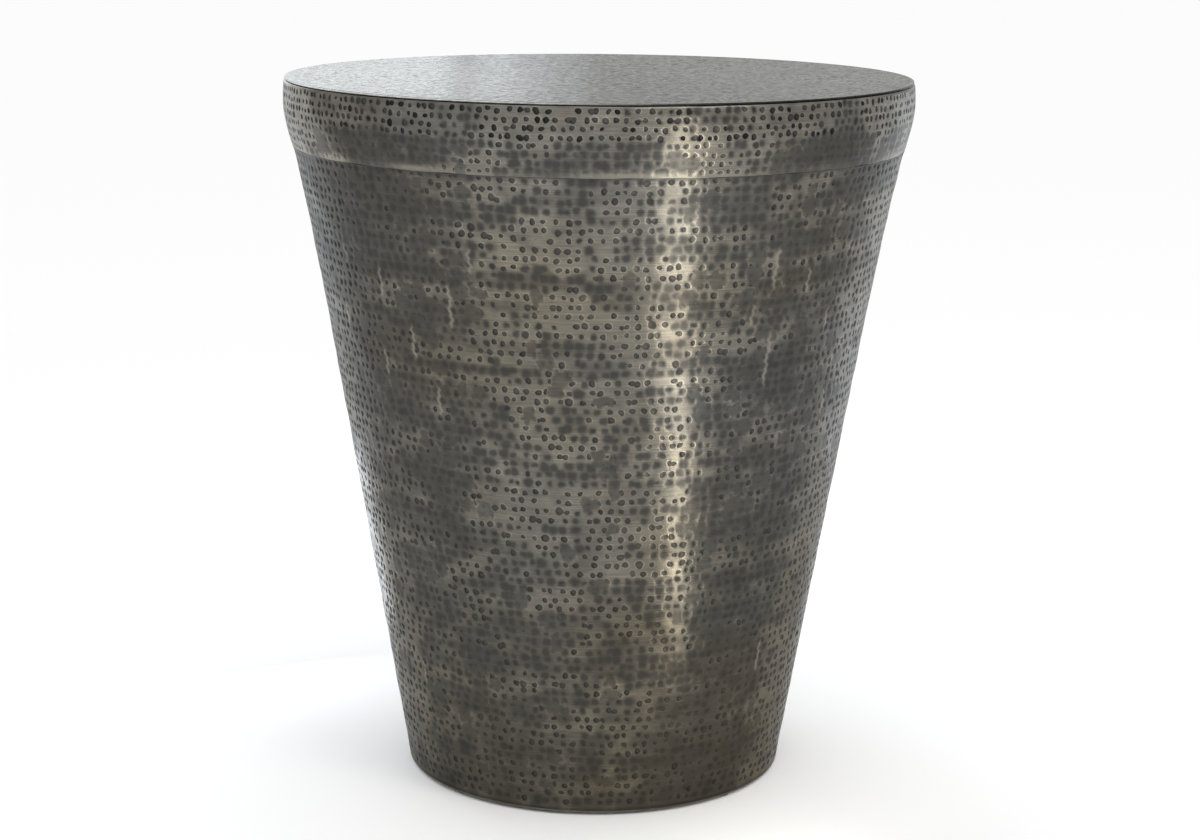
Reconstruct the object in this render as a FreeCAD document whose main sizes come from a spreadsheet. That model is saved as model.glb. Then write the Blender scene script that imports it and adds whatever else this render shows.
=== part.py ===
"""Hammered metal drum side table, as a parametric FreeCAD document.

A flat round top sits on the in-turned ledge of a spun shoulder band. Below the band a rolled sheet
cone tapers to the foot. The joint between them is a joggled lap, stitched inside with weld and ground
flush outside. Under the top a board stops the sheet ringing, and two halved bars on edge carry it.
A flat hoop stiffens the foot flange, where four nylon glides are pushed in to stand on the floor.
The cone's sheet closes on itself at the back, where a butt weld fills the slit between its edges.

Lengths are in millimetres and angles in degrees. +Z is up, the floor is Z = 0 and the axis of the
drum is the Z axis. The front is towards -Y and the back towards +Y.
"""

import FreeCAD
import Part
import math
import os
import Sketcher

PARTS_FOLDER = "parts"

# Driving dimensions: name, value, what it is.
SIZES = [
    ("table_diameter", 508.0, "widest diameter, over the bulge of the shoulder band"),
    ("overall_height", 572.0, "floor to table top"),
    ("top_sheet", 1.6, "thickness of the top disc"),
    ("top_inset", 1.8, "edge of the top disc, in from the widest radius"),
    ("top_bevel", 0.5, "bevel of the disc's upper edge"),
    ("shell_sheet", 1.2, "thickness of the shoulder band and of the cone"),
    ("band_height", 54.5, "shoulder band, from its lower edge to the table top"),
    ("band_angle", 17.2, "lean of the band's straight lower part"),
    ("band_straight", 9.5, "height of that straight part"),
    ("bulge_radius", 100.0, "profile radius of the bulge"),
    ("rim_radius", 3.2, "outside bend between bulge and ledge"),
    ("ledge_width", 14.0, "ledge that carries the top disc, in from the widest radius"),
    ("seam_step", 0.4, "how far the band stands proud of the cone at the seam"),
    ("joggle_height", 1.6, "height over which the cone steps in under the band"),
    ("lap_length", 7.0, "how far the cone reaches up inside the band"),
    ("lap_gap", 0.1, "clearance between the lapped sheets"),
    ("taper_angle", 9.6, "lean of the straight cone"),
    ("flare_turn", 2.0, "how much more the cone leans where it meets the brow"),
    ("flare_height", 143.0, "height of the flared part of the cone, under the brow"),
    ("brow_turn", 5.6, "how much more it leans at the joggle, where it follows the band"),
    ("brow_height", 12.6, "height of the brow that turns from the flare to that lean"),
    ("foot_bend", 2.6, "outside bend between cone and foot flange"),
    ("foot_flange", 18.0, "width of the in-turned foot flange"),
    ("butt_width", 4.0, "width of the cone's upright butt weld, at the band"),
    ("butt_bead", 0.6, "how far that weld stands proud of the sheet inside"),
    ("stitch_leg", 2.2, "leg of the lap's stitch welds, up the band"),
    ("stitch_length", 24.0, "length of a stitch weld round the drum"),
    ("stitch_count", 12, "stitch welds round the lap"),
    ("board_thickness", 9.0, "thickness of the board under the top"),
    ("board_margin", 4.5, "gap round the board, for the tack welds"),
    ("board_bevel", 1.0, "bevel of the board's lower edge"),
    ("bar_depth", 25.0, "depth of the cross bars, which stand on edge"),
    ("bar_thickness", 4.0, "thickness of the cross bars"),
    ("bar_end_gap", 0.15, "clearance between a bar's end and the band"),
    ("halving_gap", 0.1, "clearance on each side of a halving slot"),
    ("fillet_leg", 3.0, "leg of the fillet welds at the ends of the bars"),
    ("fillet_length", 12.0, "length of those fillet welds"),
    ("fillet_lift", 6.0, "lower end of those welds, up from the bar's lower edge"),
    ("cross_leg", 2.5, "leg of the fillet welds where the bars cross"),
    ("cross_length", 10.0, "length of those cross welds"),
    ("hoop_thickness", 3.0, "thickness of the foot hoop"),
    ("hoop_setback", 2.8, "hoop's inner edge, out from the flange's inner edge"),
    ("hoop_clearance", 0.6, "hoop's outer edge, in from the foot bend"),
    ("tack_leg", 2.4, "leg of the tack welds at the foot hoop and the top"),
    ("tack_length", 16.0, "length of a tack weld round the drum"),
    ("top_tack_count", 12, "tack welds between ledge and top disc"),
    ("hoop_tack_count", 8, "tack welds between hoop and foot flange"),
    ("glide_count", 4, "number of glides"),
    ("glide_turn", 45.0, "direction of the first glide, round from the side"),
    ("glide_stand", 2.0, "height of a glide's head, which lifts the foot off the floor"),
    ("glide_head", 13.0, "diameter of a glide's head"),
    ("glide_bevel", 0.6, "bevel round the sole of a glide"),
    ("glide_hole", 6.0, "diameter of the hole that a glide is pushed into"),
    ("glide_gap", 0.1, "clearance round the glide's stem and under its barb"),
    ("glide_barb", 0.5, "how far the barb reaches past the hole's edge"),
    ("glide_barb_height", 2.6, "height of the barb"),
]

# Worked-out radii and heights: name, formula.
WORKED = [
    # Top disc and the ledge under it.
    ("table_radius", "sizes.table_diameter / 2"),
    ("ledge_top", "sizes.overall_height - sizes.top_sheet"),
    ("ledge_under", "ledge_top - sizes.shell_sheet"),
    ("ledge_inner", "table_radius - sizes.ledge_width"),
    ("disc_radius", "table_radius - sizes.top_inset"),
    ("disc_flat", "disc_radius - sizes.top_bevel"),
    ("disc_edge_top", "sizes.overall_height - sizes.top_bevel"),
    # Shoulder band: its outer profile, then the same corners one sheet further in.
    ("band_foot_z", "sizes.overall_height - sizes.band_height"),
    ("bulge_start_z", "band_foot_z + sizes.band_straight"),
    ("bulge_centre_z", "bulge_start_z + sizes.bulge_radius * sin(sizes.band_angle)"),
    ("bulge_centre_r", "table_radius - sizes.bulge_radius"),
    ("bulge_inner", "sizes.bulge_radius - sizes.shell_sheet"),
    ("bulge_start_r", "bulge_centre_r + sizes.bulge_radius * cos(sizes.band_angle)"),
    ("band_foot_r", "bulge_start_r - sizes.band_straight * tan(sizes.band_angle)"),
    ("rim_centre_z", "ledge_top - sizes.rim_radius"),
    ("rim_reach", "sizes.bulge_radius - sizes.rim_radius"),
    ("rim_rise", "rim_centre_z - bulge_centre_z"),
    ("rim_run", "sqrt(rim_reach ^ 2 - rim_rise ^ 2)"),
    ("rim_centre_r", "bulge_centre_r + rim_run"),
    ("rim_start_r", "bulge_centre_r + rim_run * sizes.bulge_radius / rim_reach"),
    ("rim_start_z", "bulge_centre_z + rim_rise * sizes.bulge_radius / rim_reach"),
    ("rim_start_in_r", "bulge_centre_r + rim_run * bulge_inner / rim_reach"),
    ("rim_start_in_z", "bulge_centre_z + rim_rise * bulge_inner / rim_reach"),
    ("band_in_r", "sizes.shell_sheet * cos(sizes.band_angle)"),
    ("band_in_z", "sizes.shell_sheet * sin(sizes.band_angle)"),
    ("bulge_start_in_r", "bulge_start_r - band_in_r"),
    ("bulge_start_in_z", "bulge_start_z + band_in_z"),
    ("band_foot_in_r", "band_foot_r - band_in_r"),
    ("band_foot_in_z", "band_foot_z + band_in_z"),
    # Cone, from the top down: the lap inside the band, the joggle, the flare and the straight taper.
    ("lap_depth", "sizes.shell_sheet + sizes.lap_gap"),
    ("lap_rise", "sizes.lap_length * cos(sizes.band_angle)"),
    ("lap_run", "sizes.lap_length * sin(sizes.band_angle)"),
    ("lap_foot_r", "band_foot_r - lap_depth * cos(sizes.band_angle)"),
    ("lap_foot_z", "band_foot_z + lap_depth * sin(sizes.band_angle)"),
    ("lap_head_r", "lap_foot_r + lap_run"),
    ("lap_head_z", "lap_foot_z + lap_rise"),
    ("lap_foot_in_r", "lap_foot_r - band_in_r"),
    ("lap_foot_in_z", "lap_foot_z + band_in_z"),
    ("lap_head_in_r", "lap_head_r - band_in_r"),
    ("lap_head_in_z", "lap_head_z + band_in_z"),
    ("flare_angle", "sizes.taper_angle + sizes.flare_turn"),
    ("brow_angle", "flare_angle + sizes.brow_turn"),
    ("joggle_r", "band_foot_r - sizes.seam_step"),
    ("joggle_z", "band_foot_z - sizes.joggle_height"),
    ("joggle_in_r", "joggle_r - sizes.shell_sheet * cos(brow_angle)"),
    ("joggle_in_z", "joggle_z + sizes.shell_sheet * sin(brow_angle)"),
    ("brow_radius", "sizes.brow_height / (sin(brow_angle) - sin(flare_angle))"),
    ("brow_in_radius", "brow_radius + sizes.shell_sheet"),
    ("brow_r", "joggle_r - brow_radius * (cos(flare_angle) - cos(brow_angle))"),
    ("brow_z", "joggle_z - sizes.brow_height"),
    ("brow_in_r", "brow_r - sizes.shell_sheet * cos(flare_angle)"),
    ("brow_in_z", "brow_z + sizes.shell_sheet * sin(flare_angle)"),
    ("flare_radius", "sizes.flare_height / (sin(flare_angle) - sin(sizes.taper_angle))"),
    ("flare_in_radius", "flare_radius + sizes.shell_sheet"),
    ("flare_run", "flare_radius * (cos(sizes.taper_angle) - cos(flare_angle))"),
    ("flare_r", "brow_r - flare_run"),
    ("flare_z", "brow_z - sizes.flare_height"),
    ("flare_in_r", "flare_r - sizes.shell_sheet * cos(sizes.taper_angle)"),
    ("flare_in_z", "flare_z + sizes.shell_sheet * sin(sizes.taper_angle)"),
    # Foot: the bend and the in-turned flange.
    ("foot_under", "sizes.glide_stand"),
    ("foot_top", "foot_under + sizes.shell_sheet"),
    ("foot_radius", "flare_r - (flare_z - foot_under) * tan(sizes.taper_angle)"),
    ("bend_centre_z", "foot_under + sizes.foot_bend"),
    ("bend_line_r", "foot_radius + sizes.foot_bend * tan(sizes.taper_angle)"),
    ("bend_centre_r", "bend_line_r - sizes.foot_bend / cos(sizes.taper_angle)"),
    ("bend_inner", "sizes.foot_bend - sizes.shell_sheet"),
    ("bend_end_r", "bend_centre_r + sizes.foot_bend * cos(sizes.taper_angle)"),
    ("bend_end_z", "bend_centre_z - sizes.foot_bend * sin(sizes.taper_angle)"),
    ("bend_end_in_r", "bend_centre_r + bend_inner * cos(sizes.taper_angle)"),
    ("bend_end_in_z", "bend_centre_z - bend_inner * sin(sizes.taper_angle)"),
    ("flange_inner", "foot_radius - sizes.foot_flange"),
    # Butt weld of the cone, which stands proud inside, and the slit that it fills.
    ("butt_angle", "sizes.butt_width / band_foot_r * 180 / pi"),
    ("butt_in_radius", "flare_in_radius + sizes.butt_bead"),
    ("butt_run", "sizes.butt_bead * cos(sizes.taper_angle)"),
    ("butt_rise", "sizes.butt_bead * sin(sizes.taper_angle)"),
    ("butt_head_r", "brow_in_r - sizes.butt_bead * cos(flare_angle)"),
    ("butt_head_z", "brow_in_z + sizes.butt_bead * sin(flare_angle)"),
    ("butt_flare_r", "flare_in_r - butt_run"),
    ("butt_flare_z", "flare_in_z + butt_rise"),
    ("butt_foot_r", "bend_end_in_r - butt_run"),
    ("butt_foot_z", "bend_end_in_z + butt_rise"),
    ("slit_inner", "flange_inner - sizes.foot_flange"),
    # Stitch welds in the corner between the lap's upper edge and the band.
    ("stitch_foot_r", "band_foot_in_r + lap_run"),
    ("stitch_foot_z", "band_foot_in_z + lap_rise"),
    ("stitch_head_r", "stitch_foot_r + sizes.stitch_leg * sin(sizes.band_angle)"),
    ("stitch_head_z", "stitch_foot_z + sizes.stitch_leg * cos(sizes.band_angle)"),
    ("stitch_angle", "sizes.stitch_length / stitch_foot_r * 180 / pi"),
    # Board and cross bars.
    ("board_radius", "ledge_inner - sizes.board_margin"),
    ("board_under", "ledge_top - sizes.board_thickness"),
    ("board_sole", "board_radius - sizes.board_bevel"),
    ("board_bevel_z", "board_under + sizes.board_bevel"),
    ("bar_under", "board_under - sizes.bar_depth"),
    ("bar_middle", "board_under - sizes.bar_depth / 2"),
    ("bar_end_radius", "bulge_inner - sizes.bar_end_gap"),
    ("bar_head_run", "sqrt(bar_end_radius ^ 2 - (bulge_centre_z - board_under) ^ 2)"),
    ("bar_head_r", "bulge_centre_r + bar_head_run"),
    ("bar_foot_run", "sqrt(bar_end_radius ^ 2 - (bulge_centre_z - bar_under) ^ 2)"),
    ("bar_foot_r", "bulge_centre_r + bar_foot_run"),
    ("bar_half", "sizes.bar_thickness / 2"),
    ("slot_half", "bar_half + sizes.halving_gap"),
    ("slot_floor", "bar_middle - sizes.halving_gap"),
    ("slot_roof", "bar_middle + sizes.halving_gap"),
    # Fillet welds at the bars' ends, trimmed to the band's inner face, and where the bars cross.
    ("fillet_foot", "bar_under + sizes.fillet_lift"),
    ("fillet_wall_run", "sqrt(bulge_inner ^ 2 - (bulge_centre_z - fillet_foot) ^ 2)"),
    ("fillet_tip", "bulge_centre_r + fillet_wall_run - sizes.fillet_leg"),
    ("fillet_side", "bar_half + table_radius - fillet_tip"),
    ("trim_foot_run", "sqrt(bulge_inner ^ 2 - (bulge_centre_z - bar_under) ^ 2)"),
    ("trim_foot_r", "bulge_centre_r + trim_foot_run"),
    ("trim_head_run", "sqrt(bulge_inner ^ 2 - (bulge_centre_z - board_under) ^ 2)"),
    ("trim_head_r", "bulge_centre_r + trim_head_run"),
    ("trim_outer", "table_radius + fillet_side"),
    ("cross_side", "bar_half + sizes.cross_leg"),
    # Foot hoop and its tack welds, and the tack welds under the top.
    ("hoop_inner", "flange_inner + sizes.hoop_setback"),
    ("hoop_outer", "bend_centre_r - sizes.hoop_clearance"),
    ("hoop_top", "foot_top + sizes.hoop_thickness"),
    ("hoop_tack_r", "hoop_inner - sizes.tack_leg"),
    ("hoop_tack_z", "foot_top + sizes.tack_leg"),
    ("hoop_tack_angle", "sizes.tack_length / hoop_inner * 180 / pi"),
    ("top_tack_r", "ledge_inner - sizes.tack_leg"),
    ("top_tack_angle", "sizes.tack_length / ledge_inner * 180 / pi"),
    ("weld_face", "sizes.tack_leg * 1.6"),
    # Glides, each about its own axis.
    ("glide_circle", "(hoop_inner + hoop_outer) / 2"),
    ("glide_hole_across", "glide_circle * cos(sizes.glide_turn)"),
    ("glide_hole_along", "glide_circle * sin(sizes.glide_turn)"),
    ("glide_hole_radius", "sizes.glide_hole / 2"),
    ("glide_head_radius", "sizes.glide_head / 2"),
    ("glide_sole_radius", "glide_head_radius - sizes.glide_bevel"),
    ("glide_stem_radius", "glide_hole_radius - sizes.glide_gap"),
    ("glide_barb_radius", "glide_hole_radius + sizes.glide_barb"),
    ("glide_barb_z", "hoop_top + sizes.glide_gap"),
    ("glide_tip_radius", "glide_stem_radius / 2"),
    ("glide_tip_z", "glide_barb_z + sizes.glide_barb_height"),
]

# A corner's place across the drum when it lies on the axis, and on the floor.
ON_AXIS = "on_axis"
ON_FLOOR = "on_floor"

# Which side of an arc its centre lies on, going along the outline.
LEFT = 1
RIGHT = -1

SIZE_NAMES = {name for name, value, note in SIZES}


def make_sheets(doc):
    """Make the sheet of driving dimensions and the sheet of values worked out from them."""
    sizes = doc.addObject("Spreadsheet::Sheet", "sizes")
    for row, (name, value, note) in enumerate(SIZES, start=1):
        sizes.set(f"A{row}", str(value))
        sizes.setAlias(f"A{row}", name)
        sizes.set(f"B{row}", note)
    doc.recompute()
    worked = doc.addObject("Spreadsheet::Sheet", "worked")
    for row, (name, formula) in enumerate(WORKED, start=1):
        worked.set(f"A{row}", f"={formula}")
        worked.setAlias(f"A{row}", name)
    doc.recompute()


def cell(name):
    """The expression that reads a named value from its sheet."""
    sheet = "sizes" if name in SIZE_NAMES else "worked"
    return f"{sheet}.{name}"


def value(doc, name):
    """The number that a named value has now."""
    if name in (ON_AXIS, ON_FLOOR):
        return 0.0
    sheet = doc.getObject("sizes" if name in SIZE_NAMES else "worked")
    return float(sheet.get(name))


def add_body(doc, label):
    body = doc.addObject("PartDesign::Body", label)
    body.Label = label
    body.AllowCompound = True
    return body


def origin_feature(body, role):
    return next(item for item in body.Origin.OriginFeatures if item.Role == role)


def add_sketch(body, name, plane):
    sketch = body.newObject("Sketcher::SketchObject", name)
    sketch.AttachmentSupport = [(origin_feature(body, plane), "")]
    sketch.MapMode = "FlatFace"
    return sketch


def arc_through(start, end, radius, side):
    """The arc of this radius from start to end, with its centre on the given side of the way."""
    chord = end - start
    middle = (start + end) / 2
    rise = math.sqrt(max(radius ** 2 - (chord.Length / 2) ** 2, 0.0))
    across = FreeCAD.Vector(-chord.y, chord.x, 0).normalize() * side
    centre = middle + across * rise
    crown = centre + (middle - centre).normalize() * radius
    return Part.Arc(start, crown, end)


def pin_corner(sketch, edge, end, across, up):
    """Hold one corner at its named distances from the sketch's origin."""
    if across == ON_AXIS:
        sketch.addConstraint(Sketcher.Constraint("PointOnObject", edge, end, -2))
    else:
        sketch.addConstraint(
            Sketcher.Constraint("DistanceX", -1, 1, edge, end, value(sketch.Document, across))
        )
        sketch.setExpression(f"Constraints[{sketch.ConstraintCount - 1}]", cell(across))
    if up == ON_FLOOR:
        sketch.addConstraint(Sketcher.Constraint("PointOnObject", edge, end, -1))
    else:
        sketch.addConstraint(
            Sketcher.Constraint("DistanceY", -1, 1, edge, end, value(sketch.Document, up))
        )
        sketch.setExpression(f"Constraints[{sketch.ConstraintCount - 1}]", cell(up))


def draw_outline(sketch, corners):
    """Draw a closed outline through named corners.

    A corner is (across, up), or (across, up, radius, side) where an arc leads on to the next one.
    """
    doc = sketch.Document
    points = [FreeCAD.Vector(value(doc, c[0]), value(doc, c[1]), 0) for c in corners]
    ends = {}
    for index, corner in enumerate(corners):
        start = points[index]
        end = points[(index + 1) % len(points)]
        if len(corner) == 4:
            curve = arc_through(start, end, value(doc, corner[2]), corner[3])
            edge = sketch.addGeometry(curve)
            turns_left = corner[3] == LEFT
            ends[index] = (edge, 1, 2) if turns_left else (edge, 2, 1)
        else:
            edge = sketch.addGeometry(Part.LineSegment(start, end))
            ends[index] = (edge, 1, 2)
    for index, corner in enumerate(corners):
        edge, first, last = ends[index]
        following, next_first, _ = ends[(index + 1) % len(corners)]
        sketch.addConstraint(Sketcher.Constraint("Coincident", edge, last, following, next_first))
    for index, corner in enumerate(corners):
        edge, first, last = ends[index]
        pin_corner(sketch, edge, first, corner[0], corner[1])
        if len(corner) == 4:
            sketch.addConstraint(Sketcher.Constraint("Radius", edge, value(doc, corner[2])))
            sketch.setExpression(f"Constraints[{sketch.ConstraintCount - 1}]", cell(corner[2]))


def revolve(body, name, corners, plane="XZ_Plane", angle=None):
    """Turn an outline about the drum's axis: all the way round, or by a named angle."""
    sketch = add_sketch(body, f"{name}_sketch", plane)
    draw_outline(sketch, corners)
    turned = body.newObject("PartDesign::Revolution", name)
    turned.Profile = sketch
    turned.ReferenceAxis = (sketch, ["V_Axis"])
    turned.Angle = 360
    if angle:
        turned.setExpression("Angle", cell(angle))
        turned.Midplane = True
    body.Tip = turned
    return turned


def repeat_round(body, name, feature, count):
    """Repeat a feature round the body's upright axis, a named number of times."""
    pattern = body.newObject("PartDesign::PolarPattern", name)
    pattern.Originals = [feature]
    pattern.Axis = (origin_feature(body, "Z_Axis"), [""])
    pattern.Angle = 360
    pattern.setExpression("Occurrences", cell(count))
    body.Tip = pattern
    return pattern


def cut_glide_holes(body):
    """Cut the ring of holes that the glides are pushed into."""
    sketch = add_sketch(body, "glide_hole_sketch", "XY_Plane")
    doc = body.Document
    centre = FreeCAD.Vector(value(doc, "glide_hole_across"), value(doc, "glide_hole_along"), 0)
    up = FreeCAD.Vector(0, 0, 1)
    radius = value(doc, "glide_hole_radius")
    hole = sketch.addGeometry(Part.Circle(centre, up, radius))
    pin_corner(sketch, hole, 3, "glide_hole_across", "glide_hole_along")
    sketch.addConstraint(Sketcher.Constraint("Radius", hole, radius))
    sketch.setExpression(f"Constraints[{sketch.ConstraintCount - 1}]", cell("glide_hole_radius"))
    pocket = body.newObject("PartDesign::Pocket", "glide_hole")
    pocket.Profile = sketch
    pocket.Type = "Length"
    pocket.Reversed = True
    pocket.setExpression("Length", cell("hoop_top") + " * 2")
    body.Tip = pocket
    body.Document.recompute()
    repeat_round(body, "glide_holes", pocket, "glide_count")


def make_top_disc(doc):
    """The flat top, with its upper edge eased."""
    body = add_body(doc, "top_disc")
    corners = [
        (ON_AXIS, "ledge_top"),
        ("disc_radius", "ledge_top"),
        ("disc_radius", "disc_edge_top"),
        ("disc_flat", "overall_height"),
        (ON_AXIS, "overall_height"),
    ]
    revolve(body, "disc", corners)
    return body


def make_shoulder_band(doc):
    """The spun band: a leaning straight part, the bulge, the rim bend and the ledge."""
    body = add_body(doc, "shoulder_band")
    corners = [
        ("band_foot_r", "band_foot_z"),
        ("bulge_start_r", "bulge_start_z", "bulge_radius", LEFT),
        ("rim_start_r", "rim_start_z", "rim_radius", LEFT),
        ("rim_centre_r", "ledge_top"),
        ("ledge_inner", "ledge_top"),
        ("ledge_inner", "ledge_under"),
        ("rim_centre_r", "ledge_under"),
        ("rim_start_in_r", "rim_start_in_z", "bulge_inner", RIGHT),
        ("bulge_start_in_r", "bulge_start_in_z"),
        ("band_foot_in_r", "band_foot_in_z"),
    ]
    revolve(body, "band", corners)
    return body


def wall_outline(inner_face):
    """The cone's outline from the flange under the foot up to the lap, and back down inside."""
    outer_face = [
        ("flange_inner", "foot_under"),
        ("bend_centre_r", "foot_under", "foot_bend", LEFT),
        ("bend_end_r", "bend_end_z"),
        ("flare_r", "flare_z", "flare_radius", RIGHT),
        ("brow_r", "brow_z", "brow_radius", RIGHT),
        ("joggle_r", "joggle_z"),
        ("lap_foot_r", "lap_foot_z"),
        ("lap_head_r", "lap_head_z"),
        ("lap_head_in_r", "lap_head_in_z"),
        ("lap_foot_in_r", "lap_foot_in_z"),
    ]
    flange = [
        ("bend_end_in_r", "bend_end_in_z"),
        ("bend_centre_r", "foot_top"),
        ("flange_inner", "foot_top"),
    ]
    return outer_face + inner_face + flange


def make_tapered_wall(doc):
    """The rolled cone, with the slit that its butt weld fills and the holes for the glides."""
    body = add_body(doc, "tapered_wall")
    inner_face = [
        ("joggle_in_r", "joggle_in_z", "brow_in_radius", LEFT),
        ("brow_in_r", "brow_in_z", "flare_in_radius", LEFT),
        ("flare_in_r", "flare_in_z"),
    ]
    revolve(body, "wall", wall_outline(inner_face))
    doc.recompute()
    slit_sketch = add_sketch(body, "slit_sketch", "YZ_Plane")
    corners = [
        ("slit_inner", ON_FLOOR),
        ("table_radius", ON_FLOOR),
        ("table_radius", "ledge_under"),
        ("slit_inner", "ledge_under"),
    ]
    draw_outline(slit_sketch, corners)
    slit = body.newObject("PartDesign::Groove", "slit")
    slit.Profile = slit_sketch
    slit.ReferenceAxis = (slit_sketch, ["V_Axis"])
    slit.setExpression("Angle", cell("butt_angle"))
    slit.Midplane = True
    body.Tip = slit
    doc.recompute()
    cut_glide_holes(body)
    return body


def make_wall_butt_weld(doc):
    """The butt weld between the edges of the cone's sheet, proud inside and flush outside."""
    body = add_body(doc, "wall_butt_weld")
    inner_face = [
        ("joggle_in_r", "joggle_in_z", "brow_in_radius", LEFT),
        ("brow_in_r", "brow_in_z"),
        ("butt_head_r", "butt_head_z", "butt_in_radius", LEFT),
        ("butt_flare_r", "butt_flare_z"),
        ("butt_foot_r", "butt_foot_z"),
    ]
    revolve(body, "weld", wall_outline(inner_face), plane="YZ_Plane", angle="butt_angle")
    return body


def make_shoulder_stitch_welds(doc):
    """Short welds inside, on the upper edge of the lap."""
    body = add_body(doc, "shoulder_stitch_welds")
    corners = [
        ("stitch_foot_r", "stitch_foot_z"),
        ("stitch_head_r", "stitch_head_z", "weld_face", LEFT),
        ("lap_head_in_r", "lap_head_in_z"),
    ]
    stitch = revolve(body, "stitch", corners, angle="stitch_angle")
    doc.recompute()
    repeat_round(body, "stitches", stitch, "stitch_count")
    return body


def make_top_board(doc):
    """The board glued under the top disc, inside the ledge."""
    body = add_body(doc, "top_board")
    corners = [
        (ON_AXIS, "board_under"),
        ("board_sole", "board_under"),
        ("board_radius", "board_bevel_z"),
        ("board_radius", "ledge_top"),
        (ON_AXIS, "ledge_top"),
    ]
    revolve(body, "board", corners)
    return body


def make_cross_bar(doc, label, plane, corners):
    """A flat bar on edge: half of it drawn from the middle to the band, then mirrored."""
    body = add_body(doc, label)
    sketch = add_sketch(body, "half_sketch", plane)
    draw_outline(sketch, corners)
    half = body.newObject("PartDesign::Pad", "half")
    half.Profile = sketch
    half.SideType = "Symmetric"
    half.setExpression("Length", cell("bar_thickness"))
    body.Tip = half
    doc.recompute()
    other = body.newObject("PartDesign::Mirrored", "other_half")
    other.Originals = [half]
    other.MirrorPlane = (sketch, ["V_Axis"])
    body.Tip = other
    return body


def make_side_bar(doc):
    """The bar from side to side, with its halving slot cut from above."""
    corners = [
        (ON_AXIS, "bar_under"),
        ("bar_foot_r", "bar_under", "bar_end_radius", LEFT),
        ("bar_head_r", "board_under"),
        ("slot_half", "board_under"),
        ("slot_half", "slot_floor"),
        (ON_AXIS, "slot_floor"),
    ]
    return make_cross_bar(doc, "cross_bar_side_to_side", "XZ_Plane", corners)


def make_depth_bar(doc):
    """The bar from front to back, with its halving slot cut from below."""
    corners = [
        (ON_AXIS, "slot_roof"),
        ("slot_half", "slot_roof"),
        ("slot_half", "bar_under"),
        ("bar_foot_r", "bar_under", "bar_end_radius", LEFT),
        ("bar_head_r", "board_under"),
        (ON_AXIS, "board_under"),
    ]
    return make_cross_bar(doc, "cross_bar_front_to_back", "YZ_Plane", corners)


def make_bar_end_welds(doc):
    """Fillet welds on both sides of each bar's ends, trimmed to the band's inner face."""
    body = add_body(doc, "bar_end_welds")
    plan = add_sketch(body, "plan_sketch", "XY_Plane")
    plan.setExpression("AttachmentOffset.Base.z", cell("fillet_foot"))
    corners = [
        ("fillet_tip", "bar_half"),
        ("table_radius", "bar_half"),
        ("table_radius", "fillet_side"),
    ]
    draw_outline(plan, corners)
    rough = body.newObject("PartDesign::Pad", "rough_weld")
    rough.Profile = plan
    rough.setExpression("Length", cell("fillet_length"))
    body.Tip = rough
    doc.recompute()
    trim_sketch = add_sketch(body, "trim_sketch", "XZ_Plane")
    corners = [
        ("trim_foot_r", "bar_under", "bulge_inner", LEFT),
        ("trim_head_r", "board_under"),
        ("trim_outer", "board_under"),
        ("trim_outer", "bar_under"),
    ]
    draw_outline(trim_sketch, corners)
    trim = body.newObject("PartDesign::Groove", "trim_to_band")
    trim.Profile = trim_sketch
    trim.ReferenceAxis = (trim_sketch, ["V_Axis"])
    trim.Angle = 360
    body.Tip = trim
    doc.recompute()
    transform = body.newObject("PartDesign::MultiTransform", "end_welds")
    transform.Originals = [rough, trim]
    both_sides = body.newObject("PartDesign::Mirrored", "both_sides")
    both_sides.MirrorPlane = (origin_feature(body, "XZ_Plane"), [""])
    four_ends = body.newObject("PartDesign::PolarPattern", "four_ends")
    four_ends.Axis = (origin_feature(body, "Z_Axis"), [""])
    four_ends.Angle = 360
    four_ends.Occurrences = 4
    transform.Transformations = [both_sides, four_ends]
    body.Tip = transform
    return body


def make_bar_cross_welds(doc):
    """Upright fillet welds in the four corners where the bars cross."""
    body = add_body(doc, "bar_cross_welds")
    plan = add_sketch(body, "plan_sketch", "XY_Plane")
    plan.setExpression("AttachmentOffset.Base.z", cell("bar_under"))
    corners = [
        ("bar_half", "bar_half"),
        ("cross_side", "bar_half"),
        ("bar_half", "cross_side"),
    ]
    draw_outline(plan, corners)
    fillet = body.newObject("PartDesign::Pad", "corner_weld")
    fillet.Profile = plan
    fillet.setExpression("Length", cell("cross_length"))
    body.Tip = fillet
    doc.recompute()
    pattern = body.newObject("PartDesign::PolarPattern", "four_corners")
    pattern.Originals = [fillet]
    pattern.Axis = (origin_feature(body, "Z_Axis"), [""])
    pattern.Angle = 360
    pattern.Occurrences = 4
    body.Tip = pattern
    return body


def make_foot_hoop(doc):
    """The flat hoop on the foot flange, with the glide holes through it."""
    body = add_body(doc, "foot_hoop")
    corners = [
        ("hoop_inner", "foot_top"),
        ("hoop_outer", "foot_top"),
        ("hoop_outer", "hoop_top"),
        ("hoop_inner", "hoop_top"),
    ]
    revolve(body, "hoop", corners)
    doc.recompute()
    cut_glide_holes(body)
    return body


def make_hoop_tack_welds(doc):
    """Tack welds along the hoop's inner edge."""
    body = add_body(doc, "hoop_tack_welds")
    corners = [
        ("hoop_tack_r", "foot_top"),
        ("hoop_inner", "foot_top"),
        ("hoop_inner", "hoop_tack_z", "weld_face", LEFT),
    ]
    tack = revolve(body, "tack", corners, angle="hoop_tack_angle")
    doc.recompute()
    repeat_round(body, "tacks", tack, "hoop_tack_count")
    return body


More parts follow.
